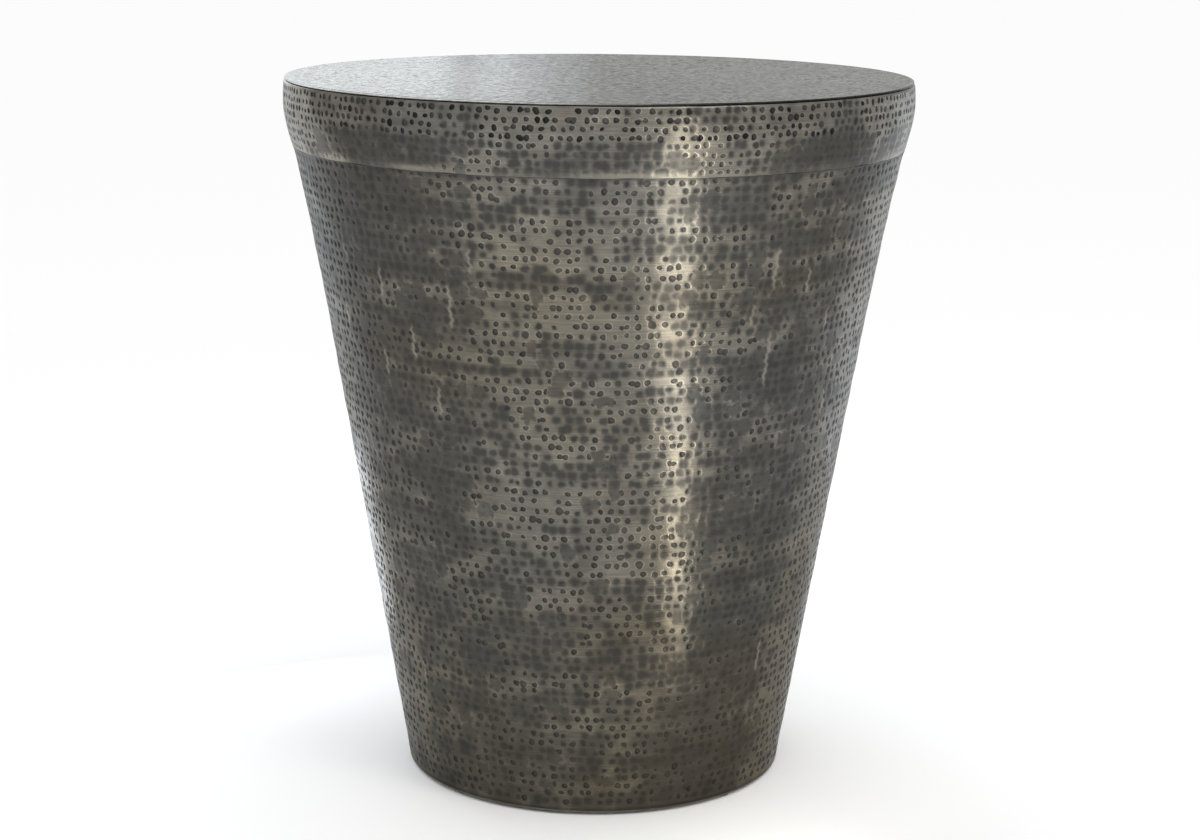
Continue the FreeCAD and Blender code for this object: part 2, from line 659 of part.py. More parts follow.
def make_top_tack_welds(doc):
    """Tack welds between the ledge's inner edge and the underside of the top disc."""
    body = add_body(doc, "top_tack_welds")
    corners = [
        ("ledge_inner", "ledge_under"),
        ("ledge_inner", "ledge_top"),
        ("top_tack_r", "ledge_top", "weld_face", LEFT),
    ]
    tack = revolve(body, "tack", corners, angle="top_tack_angle")
    doc.recompute()
    repeat_round(body, "tacks", tack, "top_tack_count")
    return body


def make_glide(doc, number):
    """A nylon glide: a round head under the foot, a stem through the hole and a barb above it."""
    body = add_body(doc, f"foot_glide_{number}")
    corners = [
        (ON_AXIS, ON_FLOOR),
        ("glide_sole_radius", ON_FLOOR),
        ("glide_head_radius", "glide_bevel"),
        ("glide_head_radius", "foot_under"),
        ("glide_stem_radius", "foot_under"),
        ("glide_stem_radius", "glide_barb_z"),
        ("glide_barb_radius", "glide_barb_z"),
        ("glide_tip_radius", "glide_tip_z"),
        (ON_AXIS, "glide_tip_z"),
    ]
    revolve(body, "glide", corners)
    turn = f"{cell('glide_turn')} + 360 / {cell('glide_count')} * {number - 1}"
    body.setExpression("Placement.Base.x", f"{cell('glide_circle')} * cos({turn})")
    body.setExpression("Placement.Base.y", f"{cell('glide_circle')} * sin({turn})")
    return body


def check_document(doc):
    """Stop before anything is written if a feature failed to rebuild."""
    for item in doc.Objects:
        if "Invalid" in item.State or "Error" in item.State:
            raise RuntimeError(f"{item.Name} did not rebuild: {item.State}")


def check_cuts(body):
    """Stop if a pocket or groove removed nothing from its body."""
    for item in body.Group:
        if item.TypeId in ("PartDesign::Pocket", "PartDesign::Groove"):
            if item.Shape.Volume >= item.BaseFeature.Shape.Volume:
                raise RuntimeError(f"{item.Name} cut nothing")


def main():
    doc = FreeCAD.newDocument("drum_side_table")
    make_sheets(doc)
    bodies = [
        make_top_disc(doc),
        make_shoulder_band(doc),
        make_tapered_wall(doc),
        make_wall_butt_weld(doc),
        make_shoulder_stitch_welds(doc),
        make_top_board(doc),
        make_top_tack_welds(doc),
        make_side_bar(doc),
        make_depth_bar(doc),
        make_bar_end_welds(doc),
        make_bar_cross_welds(doc),
        make_foot_hoop(doc),
        make_hoop_tack_welds(doc),
    ]
    for number in range(1, int(value(doc, "glide_count")) + 1):
        bodies.append(make_glide(doc, number))
    doc.recompute()
    check_document(doc)
    for body in bodies:
        check_cuts(body)
        if body.Shape.isNull() or not body.Shape.isValid():
            raise RuntimeError(f"{body.Label} has no valid shape")

    os.makedirs(PARTS_FOLDER, exist_ok=True)
    for body in bodies:
        body.Shape.exportStep(os.path.join(PARTS_FOLDER, f"{body.Label}.step"))
        solids = len(body.Shape.Solids)
        print(f"{body.Label}: {solids} solid(s), {body.Shape.Volume / 1000:.2f} cm3")


main()
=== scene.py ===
import math

import bpy
import numpy as np
from mathutils import Matrix, Vector, noise


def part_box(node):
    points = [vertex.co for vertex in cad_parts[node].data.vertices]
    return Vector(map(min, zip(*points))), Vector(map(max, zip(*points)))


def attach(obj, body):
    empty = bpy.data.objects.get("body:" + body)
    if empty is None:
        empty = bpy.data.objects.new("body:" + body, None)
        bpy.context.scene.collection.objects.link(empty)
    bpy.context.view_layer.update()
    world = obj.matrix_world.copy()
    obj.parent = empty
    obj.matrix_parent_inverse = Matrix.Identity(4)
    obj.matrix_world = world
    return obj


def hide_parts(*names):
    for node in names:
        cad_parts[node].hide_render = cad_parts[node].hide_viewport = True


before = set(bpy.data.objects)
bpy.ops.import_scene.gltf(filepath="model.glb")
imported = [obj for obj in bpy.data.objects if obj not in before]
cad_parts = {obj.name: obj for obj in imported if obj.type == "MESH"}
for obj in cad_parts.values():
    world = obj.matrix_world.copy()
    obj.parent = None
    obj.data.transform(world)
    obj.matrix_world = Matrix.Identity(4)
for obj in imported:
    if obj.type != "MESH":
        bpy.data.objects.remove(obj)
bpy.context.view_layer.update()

# ---- sizes of the drum, in metres

TABLE_RADIUS = 0.254          # widest radius, over the bulge of the shoulder band
DISC_TOP = 0.572              # height of the table top
DISC_SHEET = 0.0016           # thickness of the top disc
DISC_INSET = 0.0018           # edge of the top disc, in from the widest radius
DISC_BEVEL = 0.0005           # bevel of the disc's upper edge
SHEET = 0.0012                # thickness of the wall and of the shoulder band
BAND_HEIGHT = 0.0545          # shoulder band, from its lower edge to the table top
BAND_STRAIGHT = 0.0095        # height of the band's straight lower part
BAND_LEAN = math.radians(17.2)
BULGE_RADIUS = 0.1            # profile radius of the bulge
RIM_RADIUS = 0.0032           # outside bend between bulge and ledge
LEDGE_WIDTH = 0.014           # ledge under the top disc, in from the widest radius
SEAM_STEP = 0.0004            # how far the band stands proud of the wall
SEAM_GROOVE = 0.0001          # the wall's skin ends this far under the band
LAP_GAP = 0.0001              # clearance between the lapped sheets
LAP_LENGTH = 0.007            # how far the wall reaches up inside the band
JOGGLE_HEIGHT = 0.0016        # height over which the wall steps in under the band
BROW_HEIGHT = 0.0126          # the wall turns here from its flare to the lean of the band
FLARE_HEIGHT = 0.143          # flared part of the wall, under the brow
FLARE_LEAN = math.radians(11.6)     # lean at the head of the flare
WALL_LEAN = math.radians(9.6)       # lean of the straight wall
FOOT_BEND = 0.0026            # outside bend between wall and foot flange
FOOT_FLANGE = 0.018           # width of the in-turned foot flange
FOOT_UNDER = 0.002            # the glides lift the foot this high
SKIN_INSET = 0.00004          # keeps the hammered skins inside the drum's outline


def step(start, outward, upward):
    """The point (radius, height) that lies this far outward and upward of another."""
    return start[0] + outward, start[1] + upward


# Worked out from the sizes above; a point is (radius, height).
DISC_RADIUS = TABLE_RADIUS - DISC_INSET
DISC_FLAT = DISC_RADIUS - DISC_BEVEL
DISC_UNDER = DISC_TOP - DISC_SHEET
LEDGE_UNDER = DISC_UNDER - SHEET
LEDGE_INNER = TABLE_RADIUS - LEDGE_WIDTH
BULGE_DROP = BULGE_RADIUS * math.sin(BAND_LEAN)
BULGE_CENTRE = TABLE_RADIUS - BULGE_RADIUS, DISC_TOP - BAND_HEIGHT + BAND_STRAIGHT + BULGE_DROP
BULGE_START = step(BULGE_CENTRE, BULGE_RADIUS * math.cos(BAND_LEAN), -BULGE_DROP)
BAND_START = step(BULGE_START, -BAND_STRAIGHT * math.tan(BAND_LEAN), -BAND_STRAIGHT)
RIM_REACH = BULGE_RADIUS - RIM_RADIUS
RIM_HEIGHT = DISC_UNDER - RIM_RADIUS
BULGE_END_TURN = math.asin((RIM_HEIGHT - BULGE_CENTRE[1]) / RIM_REACH)
RIM_CENTRE = BULGE_CENTRE[0] + RIM_REACH * math.cos(BULGE_END_TURN), RIM_HEIGHT
WALL_END = BAND_START[1] - SEAM_GROOVE
BROW_CURVE = BROW_HEIGHT / (math.sin(BAND_LEAN) - math.sin(FLARE_LEAN))
BROW_RUN = BROW_CURVE * (math.cos(FLARE_LEAN) - math.cos(BAND_LEAN))
BROW_START = step(BAND_START, -SEAM_STEP - BROW_RUN, -JOGGLE_HEIGHT - BROW_HEIGHT)
FLARE_CURVE = FLARE_HEIGHT / (math.sin(FLARE_LEAN) - math.sin(WALL_LEAN))
FLARE_RUN = FLARE_CURVE * (math.cos(WALL_LEAN) - math.cos(FLARE_LEAN))
FLARE_START = step(BROW_START, -FLARE_RUN, -FLARE_HEIGHT)
FOOT_RADIUS = FLARE_START[0] - (FLARE_START[1] - FOOT_UNDER) * math.tan(WALL_LEAN)
FOOT_BEND_RUN = FOOT_BEND / math.cos(WALL_LEAN) - FOOT_BEND * math.tan(WALL_LEAN)
FOOT_BEND_CENTRE = FOOT_RADIUS - FOOT_BEND_RUN, FOOT_UNDER + FOOT_BEND
FOOT_START = FOOT_BEND_CENTRE[1] - FOOT_BEND * math.sin(WALL_LEAN)
FLANGE_INNER = FOOT_RADIUS - FOOT_FLANGE

# ---- how finely, and where the finish changes

COARSE_COLUMNS = 160          # columns round a hammered skin before it is divided
DIVIDE = 8                    # parts that each coarse quad is divided into, both ways
COLUMNS = COARSE_COLUMNS * DIVIDE
WALL_COURSES = 7              # the wall's skin is made in as many pieces, one above the other
COURSE_RINGS = 7              # coarse rings in each of them
BAND_RINGS = 8                # coarse rings in the shoulder band
INNER_COLUMNS = 320           # columns round the plain inner sheets
TOP_PARTS = 13                # parts that the top's fan is divided into, and each part again
TOP_RINGS = TOP_PARTS ** 2

WALL_ROWS, WALL_PITCH = 0.0074, 0.0083      # between rows of marks, and between marks in a row
BAND_ROWS, BAND_PITCH = 0.0068, 0.0072
RIM_ROWS = (0.0060, 0.0125, 0.0188, 0.0250)     # the band's close rows, measured down from its rim
BROAD_ROWS, BROAD_PITCH = 0.0155, 0.0165
TOP_ROWS, TOP_PITCH = 0.0058, 0.0076
BAND_MIDDLE = 0.2515          # radius that the band's marks are counted on
NO_MARK = 0.0002              # half size of a mark that was left out
FAR = 3.0                     # measured in marks: any further is all the same to the finish

FRONT = -math.pi / 2          # direction of the front of the drum
BACK = math.pi / 2            # direction of the butt weld

# Where the wall is darkened, in degrees from the front: middle at the head, middle at the foot,
# half width, then how strong at the head and at the foot. Most zones are thicker patina; the two
# beside the front, at 45 and -45, are partly painted shade that stands in for dark reflections
# there, and the left one is weak toward the foot, which keeps the lower left light as a painted sheen.
DARK_SIDES = ((45, 31, 17, 1.0, 1.0), (-45, -35, 18, 1.45, 0.35), (106, 100, 15, 1.0, 1.0),
              (152, 150, 18, 1.0, 1.0), (-102, -108, 15, 1.0, 1.0), (-158, -155, 17, 1.0, 1.0))

# Thin lines rubbed bright: degrees from the front, middle and half length up the wall.
WORN_LINES = ((-29, 0.417, 0.020), (-24, 0.454, 0.012), (-39, 0.385, 0.016), (-57, 0.447, 0.009),
              (-46, 0.430, 0.014), (-48, 0.365, 0.012), (-34, 0.340, 0.014), (-61, 0.395, 0.010),
              (35, 0.447, 0.020), (31, 0.412, 0.010), (36, 0.375, 0.026), (52, 0.400, 0.012),
              (44, 0.435, 0.012), (57, 0.330, 0.014), (48, 0.120, 0.016), (-52, 0.100, 0.012),
              (95, 0.300, 0.020), (140, 0.420, 0.018), (-110, 0.360, 0.022), (-150, 0.450, 0.015),
              (165, 0.330, 0.020), (118, 0.460, 0.012), (-78, 0.250, 0.014))
WORN_LINE_WIDTH = 0.0052      # in radians round the drum

# Where a painted highlight lies along the band's lower edge: degrees from the front, half width.
SEAM_GLINTS = ((-54, 4), (-33, 5), (7, 10), (72, 7), (98, 5), (137, 9), (-88, 6), (-120, 8), (-165, 7))

# ---- outlines of the two skins

def curved_radius(height, start, curve, lean):
    """Radius of an outward-turning arc that leaves its start (radius, height) at a lean."""
    centre = step(start, curve * math.cos(lean), -curve * math.sin(lean))
    return centre[0] - np.sqrt(curve ** 2 - (height - centre[1]) ** 2)


def wall_radius(height):
    """Outer radius of the tapered wall at a height: taper, flare, then the brow under the band."""
    taper = FLARE_START[0] + (height - FLARE_START[1]) * math.tan(WALL_LEAN)
    flare = curved_radius(height, FLARE_START, FLARE_CURVE, WALL_LEAN)
    brow = curved_radius(np.maximum(height, BROW_START[1]), BROW_START, BROW_CURVE, FLARE_LEAN)
    return np.where(height < FLARE_START[1], taper, np.where(height < BROW_START[1], flare, brow))


def wall_outline(share):
    """Radius, height and run of the wall's skin at shares 0 to 1 of its height."""
    height = FOOT_START + share * (WALL_END - FOOT_START)
    radius = wall_radius(height)
    run = (height - FOOT_START) / math.cos(WALL_LEAN)
    return radius, height, run


def band_outline(share):
    """Radius, height and run of the shoulder band's skin at shares 0 to 1 of its length."""
    straight = math.dist(BAND_START, BULGE_START)
    bulge = BULGE_RADIUS * (BULGE_END_TURN + BAND_LEAN)
    bend = RIM_RADIUS * (math.pi / 2 - BULGE_END_TURN)
    run = share * (straight + bulge + bend)
    along = np.clip(run / straight, 0, 1)
    radius = BAND_START[0] + along * (BULGE_START[0] - BAND_START[0])
    height = BAND_START[1] + along * (BULGE_START[1] - BAND_START[1])
    arcs = ((straight, bulge, BULGE_CENTRE, BULGE_RADIUS, -BAND_LEAN),
            (straight + bulge, bend, RIM_CENTRE, RIM_RADIUS, BULGE_END_TURN))
    for begun, length, centre, bent, first_turn in arcs:
        turn = first_turn + np.clip(run - begun, 0, length) / bent
        radius = np.where(run > begun, centre[0] + bent * np.cos(turn), radius)
        height = np.where(run > begun, centre[1] + bent * np.sin(turn), height)
    return radius, height, run


WALL_RUN = float(wall_outline(1.0)[2])
BAND_RUN = float(band_outline(np.array([1.0]))[2][0])


# ---- hammer marks

def fade(value, start, end):
    """0 before start, 1 after end, smooth between."""
    share = np.clip((value - start) / (end - start), 0, 1)
    return share * share * (3 - 2 * share)


def wrapped(angle):
    """The same direction as an angle from -pi to pi."""
    return np.angle(np.exp(1j * angle))


def drift(x, y, seed):
    """Slow noise from -1 to 1 at many places, to gather marks of one kind in patches."""
    return np.array([noise.noise(Vector((a, b, seed))) for a, b in zip(x, y)]) * 1.6


def beaten_wave(run, turn, seed, finer=1):
    """Slow waves that hand hammering leaves in a skin, from 0 to 1; finer ones on request."""
    rng = np.random.default_rng(seed)
    wave = np.zeros(len(run))
    for _ in range(14):
        around = rng.integers(8, 46) * rng.choice((-1, 1)) * finer
        upward = rng.uniform(30, 230) * finer
        wave += np.sin(around * turn + upward * run + rng.uniform(0, 2 * math.pi))
    return np.clip(0.5 + wave / 10, 0, 1)


def seam_wave(turn):
    """How far the lap's edge is beaten in round the drum, from 0 to 1: the same on wall and band."""
    return beaten_wave(np.zeros(len(turn)), turn, seed=61) ** 2


class HammerRows:
    """Rows of hammer marks round the drum. Lengths are in metres, along the skin."""

    def __init__(self, places, radii, spacing, seed):
        self.rng = np.random.default_rng(seed)
        self.places = np.array(places)
        self.count = np.round(2 * math.pi * np.array(radii) / spacing).astype(int)
        self.first = np.concatenate([[0], np.cumsum(self.count)[:-1]])
        self.total = int(self.count.sum())
        self.row = np.repeat(np.arange(len(self.places)), self.count)
        self.step = np.cumsum(self.rng.normal(0, 0.3, len(self.places)))
        number = np.arange(self.total) - self.first[self.row]
        self.turn = 2 * math.pi * (number + 0.5 + self.step[self.row]) / self.count[self.row]
        self.side = self.vary(0.16)
        self.up, self.half_width, self.half_height = np.zeros((3, self.total))
        self.deep, self.soft, self.patina = np.zeros((3, self.total))
        self.tone = self.rng.uniform(0.45, 1.0, self.total)

    def vary(self, spread):
        """A random difference for each mark."""
        return self.rng.normal(0, spread, self.total)

    def vary_rows(self, spread):
        """A random difference for each row, given to all its marks."""
        return self.rng.normal(0, spread, len(self.places))[self.row]

    def miss(self, share):
        """Leaves a share of the crisp marks out, as an uneven hand does."""
        missed = (self.rng.random(self.total) < share) & (self.soft < 0.3)
        self.half_width[missed] = NO_MARK
        self.half_height[missed] = NO_MARK

    def press(self, run, turn, radius):
        """What the marks do at each point of the skin: depth, and what the finish needs to know."""
        deepest, lower_left, tone, patina, smooth = np.zeros((5, len(run)))
        nearest, centre = np.full((2, len(run)), 9.0)
        clear = np.ones(len(run))
        weights = np.full(len(run), 1e-9)
        near_row = np.abs(run[:, None] - self.places[None, :]).argmin(1)
        for up in (-1, 0, 1):
            row = np.clip(near_row + up, 0, len(self.places) - 1)
            count = self.count[row]
            share = (turn - FRONT) / (2 * math.pi) * count - self.step[row]
            for side in (-1, 0, 1):
                number = np.floor(share) + side
                mark = self.first[row] + number.astype(int) % count
                across = (share - number - 0.5 - self.side[mark]) * 2 * math.pi * radius / count
                upward = run - self.places[row] - self.up[mark]
                wide, high = self.half_width[mark], self.half_height[mark]
                soft = self.soft[mark]
                reach = (across / wide) ** 2 + (upward / high) ** 2
                square = (np.abs(across / wide) ** 2.4 + np.abs(upward / high) ** 2.4) ** (1 / 1.2)
                bowl = np.clip(1 - reach, 0, 1)
                deepest = np.maximum(deepest, self.deep[mark] * (1 - 0.7 * soft) * bowl)
                cover = 1 - fade(square, 0.72 - 0.50 * soft, 1.40 + 0.35 * soft)
                clear *= 1 - 0.93 * fade(soft, 0.06, 0.32) * cover
                centre = np.minimum(centre, square)
                crisp = reach + 1.6 * fade(soft, 0.12, 0.55)
                closer = crisp < nearest
                nearest = np.where(closer, crisp, nearest)
                # Which side of its mark a point lies on, most toward the lower left: the finish paints shade
                # there inside the mark and a highlight on the other side just beyond it.
                leaning = -0.7 * across / wide - 0.4 * upward / high
                lower_left = np.where(closer, leaning, lower_left)
                tone = np.where(closer, self.tone[mark], tone)
                weight = np.exp(-((across / 0.004) ** 2 + (upward / 0.004) ** 2))
                patina += weight * self.patina[mark]
                smooth += weight * soft
                weights += weight
        return {"deep": np.maximum(deepest, 0.00022 * (1 - clear)), "mark": np.minimum(nearest, FAR),
                "lower_left": np.clip(lower_left, -1.2, 1.2), "tone": tone, "soft": 1 - clear,
                "centre": np.minimum(centre, FAR), "patina": patina / weights, "smooth": smooth / weights}


def dark_sides(turn, height):
    """How much darker the wall is made at a turn from the front: thicker patina, and beside the front
    painted shade as well.
    """
    thick = np.zeros(len(turn))
    for at_head, at_foot, width, head_strength, foot_strength in DARK_SIDES:
        strength = foot_strength + (head_strength - foot_strength) * height / WALL_END
        degrees = at_foot + (at_head - at_foot) * height / WALL_END
        away = wrapped(turn - np.radians(degrees))
        thick += strength * np.exp(-(away / math.radians(width)) ** 4)
    return thick


def worn_lines(run, turn):
    """Thin bright lines that wander down the wall where it was rubbed."""
    brightened = np.zeros(len(turn))
    for number, (degrees, middle, half) in enumerate(WORN_LINES):
        wander = 0.0035 * np.sin(run * 420 + number) + 0.0030 * np.sin(run * 1100 + 2.1 * number)
        away = wrapped(turn - FRONT - math.radians(degrees) - wander)
        along = 1 - fade(np.abs(run - middle), half * 0.6, half)
        brightened += np.exp(-(away / WORN_LINE_WIDTH) ** 2) * along
    return brightened


def crisp_flanks(turn):
    """1 on the two flanks, where the punches stand clear of each other, 0 at the front and the back."""
    away = np.abs(wrapped(turn))
    begun = fade(away, math.radians(45), math.radians(59))
    return begun * (1 - fade(away, math.radians(100), math.radians(112)))


def wall_marks():
    """The marks of the wall: crisp punches in most places, wide soft dents run together in patches."""
    places = np.arange(0.0078, WALL_RUN + 0.004, WALL_ROWS)
    radii = wall_radius(np.minimum(FOOT_START + places * math.cos(WALL_LEAN), WALL_END))
    marks = HammerRows(places, radii, WALL_PITCH, seed=11)
    around = marks.turn * 1.9
    upward = places[marks.row]
    thick = dark_sides(marks.turn, upward)
    flank = crisp_flanks(marks.turn)
    patch = 0.8 * drift(around * 1.8, upward * 55, 3.1) + 0.6 * drift(around * 5.0, upward * 60, 7.7)
    mood = patch + marks.vary_rows(0.20) + marks.vary(0.22) + 0.12 + 0.18 * thick * (1 - flank)
    marks.soft = np.clip(mood / 0.8 - 0.75 * flank, 0, 1)
    # Darker toward the foot and just under the band's overhang: painted shade, put in as patina; slow noise
    # breaks up the shade under the band.
    low = 1 - fade(upward, 0.0, 0.33)
    shade_under_band = np.exp(-((WALL_RUN - upward) / 0.016) ** 2)
    shade_under_band = shade_under_band * fade(drift(around * 2.2, upward * 3, 9.3), -0.5, 0.4)
    cloud = 0.22 * drift(around * 1.2, upward * 45, 21.1) + 0.20 * drift(around * 5.0, upward * 80, 23.7)
    # Of these terms, thick holds patina and, beside the front, painted shade; the foot and under-band terms
    # are painted shade; cloud, softness and the random parts are patina.
    marks.patina = 0.24 + 0.55 * thick + 0.54 * low + 0.4 * shade_under_band + cloud
    marks.patina += 0.40 * marks.soft + marks.vary(0.10)
    marks.patina += marks.vary_rows(0.10)
    size = 1 + marks.vary(1) * (0.10 + 0.09 * marks.soft)
    marks.half_width = np.clip((0.0024 + 0.0015 * marks.soft) * size, 0.0017, 0.0052)
    size = size + marks.vary(0.06)
    marks.half_height = np.clip((0.0024 + 0.0014 * marks.soft) * size, 0.0017, 0.0050)
    marks.deep = 0.00046 + marks.vary(0.00006) + 0.00030 * flank
    marks.tone = marks.tone * (1 - 0.25 * flank)
    # On the flanks: darker toward the head, more on one flank than the other, and lighter toward the foot:
    # painted shade and a painted sheen, put in as patina.
    flank_head_shade = np.where(np.sin(marks.turn) < 0, 0.60, 0.32) * fade(upward, 0.13, 0.34)
    marks.patina += flank * (flank_head_shade - 0.32 * (1 - fade(upward, 0.05, 0.20)))
    marks.up = marks.vary(0.0006) + 0.0013 * drift(around * 1.1, upward * 9, 5.5)
    marks.miss(0.05)
    return marks


def broad_marks(places, radii, height, seed):
    """Broad flat dents of a bigger hammer face, thrown over the rows here and there."""
    marks = HammerRows(places, radii, BROAD_PITCH, seed)
    upward = marks.places[marks.row]
    thick = dark_sides(marks.turn, np.minimum(height + upward, WALL_END))
    mood = drift(marks.turn * 5.0, upward * 24, seed + 0.4) + marks.vary(0.5) + 0.7 * thick
    present = mood > 0.85
    marks.half_width = np.where(present, marks.rng.uniform(0.0045, 0.0085, marks.total), NO_MARK)
    marks.half_height = np.where(present, marks.rng.uniform(0.0045, 0.0080, marks.total), NO_MARK)
    marks.side = marks.vary(0.25)
    marks.up = marks.vary(0.0030)
    return marks


def band_marks():
    """The marks of the shoulder band: close punches under the rim, scattered ones below."""
    near_rim = BAND_RUN - np.array(RIM_ROWS)
    lower = np.arange(0.0040, near_rim[-1] - 0.004, BAND_ROWS)
    places = np.concatenate([lower, near_rim[::-1]])
    marks = HammerRows(places, np.full(len(places), BAND_MIDDLE), BAND_PITCH, seed=23)
    around = marks.turn * 1.9
    upward = places[marks.row]
    close = (marks.row >= len(lower)).astype(float)
    thick = dark_sides(marks.turn, WALL_END)
    patch = drift(around * 2.2, upward * 26, 13.1) + 0.4 * drift(around * 6.0, upward * 60, 17.7)
    mood = patch + marks.vary(0.22) - 0.45 * close + 0.38 * (1 - close) + 0.20 * thick
    marks.soft = np.clip(mood / 0.8 - 0.6 * crisp_flanks(marks.turn), 0, 1 - 0.62 * close)
    # The darkened sides come in as on the wall: partly painted shade beside the front, the rest patina.
    marks.patina = 0.22 + 0.50 * thick * (1 - 0.4 * close) + 0.30 * drift(around * 2.5, upward * 30, 29.1)
    marks.patina += 0.45 * marks.soft + 0.12 * close + marks.vary(0.10)
    size = 1 + marks.vary(1) * (0.10 + 0.09 * marks.soft)
    marks.half_width = np.clip((0.0022 + 0.0012 * marks.soft) * size, 0.0015, 0.0040)
    marks.half_height = np.clip((0.0022 + 0.0014 * marks.soft) * size, 0.0015, 0.0042)
    marks.deep = 0.00038 + 0.00008 * close + marks.vary(0.00005)
    marks.up = marks.vary(0.0005)
    marks.miss(0.05)
    marks.tone = marks.tone * (1 + 0.5 * close)
    return marks


def top_marks():
    """The marks of the top sheet: shallow, close and slightly wider than high, in rings."""
    places = np.arange(0.004, DISC_RADIUS, TOP_ROWS)
    marks = HammerRows(places, places, TOP_PITCH, seed=37)
    rng = marks.rng
    marks.up = marks.vary(0.0005)
    marks.side = rng.uniform(-0.3, 0.3, marks.total)
    marks.half_width = np.clip(rng.normal(0.0038, 0.0008, marks.total), 0.0022, 0.0058)
    marks.half_height = np.clip(rng.normal(0.0034, 0.0006, marks.total), 0.0020, 0.0046)
    marks.deep = np.clip(rng.normal(0.00020, 0.00007, marks.total), 0.00005, 0.0004)
    marks.step = rng.uniform(0, 1, len(places))
    return marks


# ---- shader writing

class Value:
    """A socket that carries a value, so that shader maths reads as plain expressions."""

    def __init__(self, finish, socket):
        self.finish = finish
        self.socket = socket

    def maths(self, operation, *terms, clamp=False):
        settings = {"operation": operation, "use_clamp": clamp}
        return self.finish.node("ShaderNodeMath", settings, dict(enumerate(terms)))

    def __add__(self, other):
        return self.maths("ADD", self, other)

    def __radd__(self, other):
        return self.maths("ADD", other, self)

    def __sub__(self, other):
        return self.maths("SUBTRACT", self, other)

    def __rsub__(self, other):
        return self.maths("SUBTRACT", other, self)

    def __mul__(self, other):
        return self.maths("MULTIPLY", self, other)

    def __rmul__(self, other):
        return self.maths("MULTIPLY", other, self)

    def __pow__(self, other):
        return self.maths("POWER", self, other)

    def held(self):
        """The value, kept between 0 and 1."""
        return self.maths("ADD", self, 0, clamp=True)


class Finish:
    """A procedural material being made: its nodes and its shader."""

    def __init__(self, name, **fixed):
        self.material = bpy.data.materials.new(name)
        self.material.use_nodes = True
        self.tree = self.material.node_tree
        self.shader = self.tree.nodes["Principled BSDF"]
        for socket, value in fixed.items():
            self.shader.inputs[socket.replace("_", " ")].default_value = value

    def node(self, kind, settings=None, inputs=None, out=0):
        """Adds a node: its type, its settings, the values or links of its sockets, and what it gives."""
        made = self.tree.nodes.new(kind)
        for key, value in (settings or {}).items():
            setattr(made, key, value)
        for key, value in (inputs or {}).items():
            if isinstance(value, Value):
                self.tree.links.new(value.socket, made.inputs[key])
            else:
                made.inputs[key].default_value = value
        return Value(self, made.outputs[out])

    def finished(self, colour, rough, normal):
        """The material, once its shader has its colour, roughness and normal."""
        for socket, value in (("Base Color", colour), ("Roughness", rough), ("Normal", normal)):
            self.tree.links.new(value.socket, self.shader.inputs[socket])
        return self.material

    def place(self):
        return self.node("ShaderNodeTexCoord", out="Object")

    def attribute(self, name):
        return self.node("ShaderNodeAttribute", {"attribute_name": name}, out="Fac")

    def split(self, vector):
        """The x, y and z of a vector."""
        first = self.node("ShaderNodeSeparateXYZ", None, {0: vector})
        return [Value(self, socket) for socket in first.socket.node.outputs]

    def stretched(self, vector, scale):
        return self.node("ShaderNodeVectorMath", {"operation": "MULTIPLY"}, {0: vector, 1: scale})

    def grain(self, vector, scale, detail=3, roughness=0.55, distortion=0):
        inputs = {"Vector": vector, "Scale": scale, "Detail": detail,
                  "Roughness": roughness, "Distortion": distortion}
        return self.node("ShaderNodeTexNoise", None, inputs, out="Fac")

    def cells(self, vector, scale):
        return self.node("ShaderNodeTexVoronoi", None, {"Vector": vector, "Scale": scale}, out="Distance")

    def mix(self, factor, first, second, blend="MIX"):
        settings = {"data_type": "RGBA", "blend_type": blend}
        return self.node("ShaderNodeMix", settings, {0: factor, 6: first, 7: second}, out=2)

    def shaded(self, colour, strength):
        """A colour made darker or lighter by a number."""
        grey = self.node("ShaderNodeCombineColor", None, {0: strength, 1: strength, 2: strength})
        return self.mix(1, colour, grey, "MULTIPLY")

    def spread(self, value, low, high, to_low=0, to_high=1):
        inputs = {0: value, 1: low, 2: high, 3: to_low, 4: to_high}
        return self.node("ShaderNodeMapRange", {"clamp": True}, inputs)

    def smooth(self, value, low, high):
        settings = {"clamp": True, "interpolation_type": "SMOOTHSTEP"}
        return self.node("ShaderNodeMapRange", settings, {0: value, 1: low, 2: high})

    def bump(self, height, distance, strength, under=None):
        inputs = {"Height": height, "Distance": distance, "Strength": strength}
        if under is not None:
            inputs["Normal"] = under
        return self.node("ShaderNodeBump", None, inputs)


def rgb(red, green, blue):
    """A colour given in screen values, as the shader wants it."""
    def linear(c):
        c = c / 255
        return c / 12.92 if c <= 0.04045 else ((c + 0.055) / 1.055) ** 2.4
    return (linear(red), linear(green), linear(blue), 1)


WHITE = rgb(255, 255, 255)


def round_the_axis(f, place, about, outward):
    """Object coordinates bent round the drum's axis: slow along the turn, fast along the radius."""
    across, deep, _ = f.split(place)
    radius = (across * across + deep * deep) ** 0.5
    flat = f.node("ShaderNodeCombineXYZ", None, {0: across, 1: deep, 2: 0})
    unit = f.node("ShaderNodeVectorMath", {"operation": "NORMALIZE"}, {0: flat})
    turned = f.stretched(unit, (about, about, 0))
    lift = f.node("ShaderNodeCombineXYZ", None, {0: 0, 1: 0, 2: radius * outward})
    return f.node("ShaderNodeVectorMath", {"operation": "ADD"}, {0: turned, 1: lift})


# ---- finishes

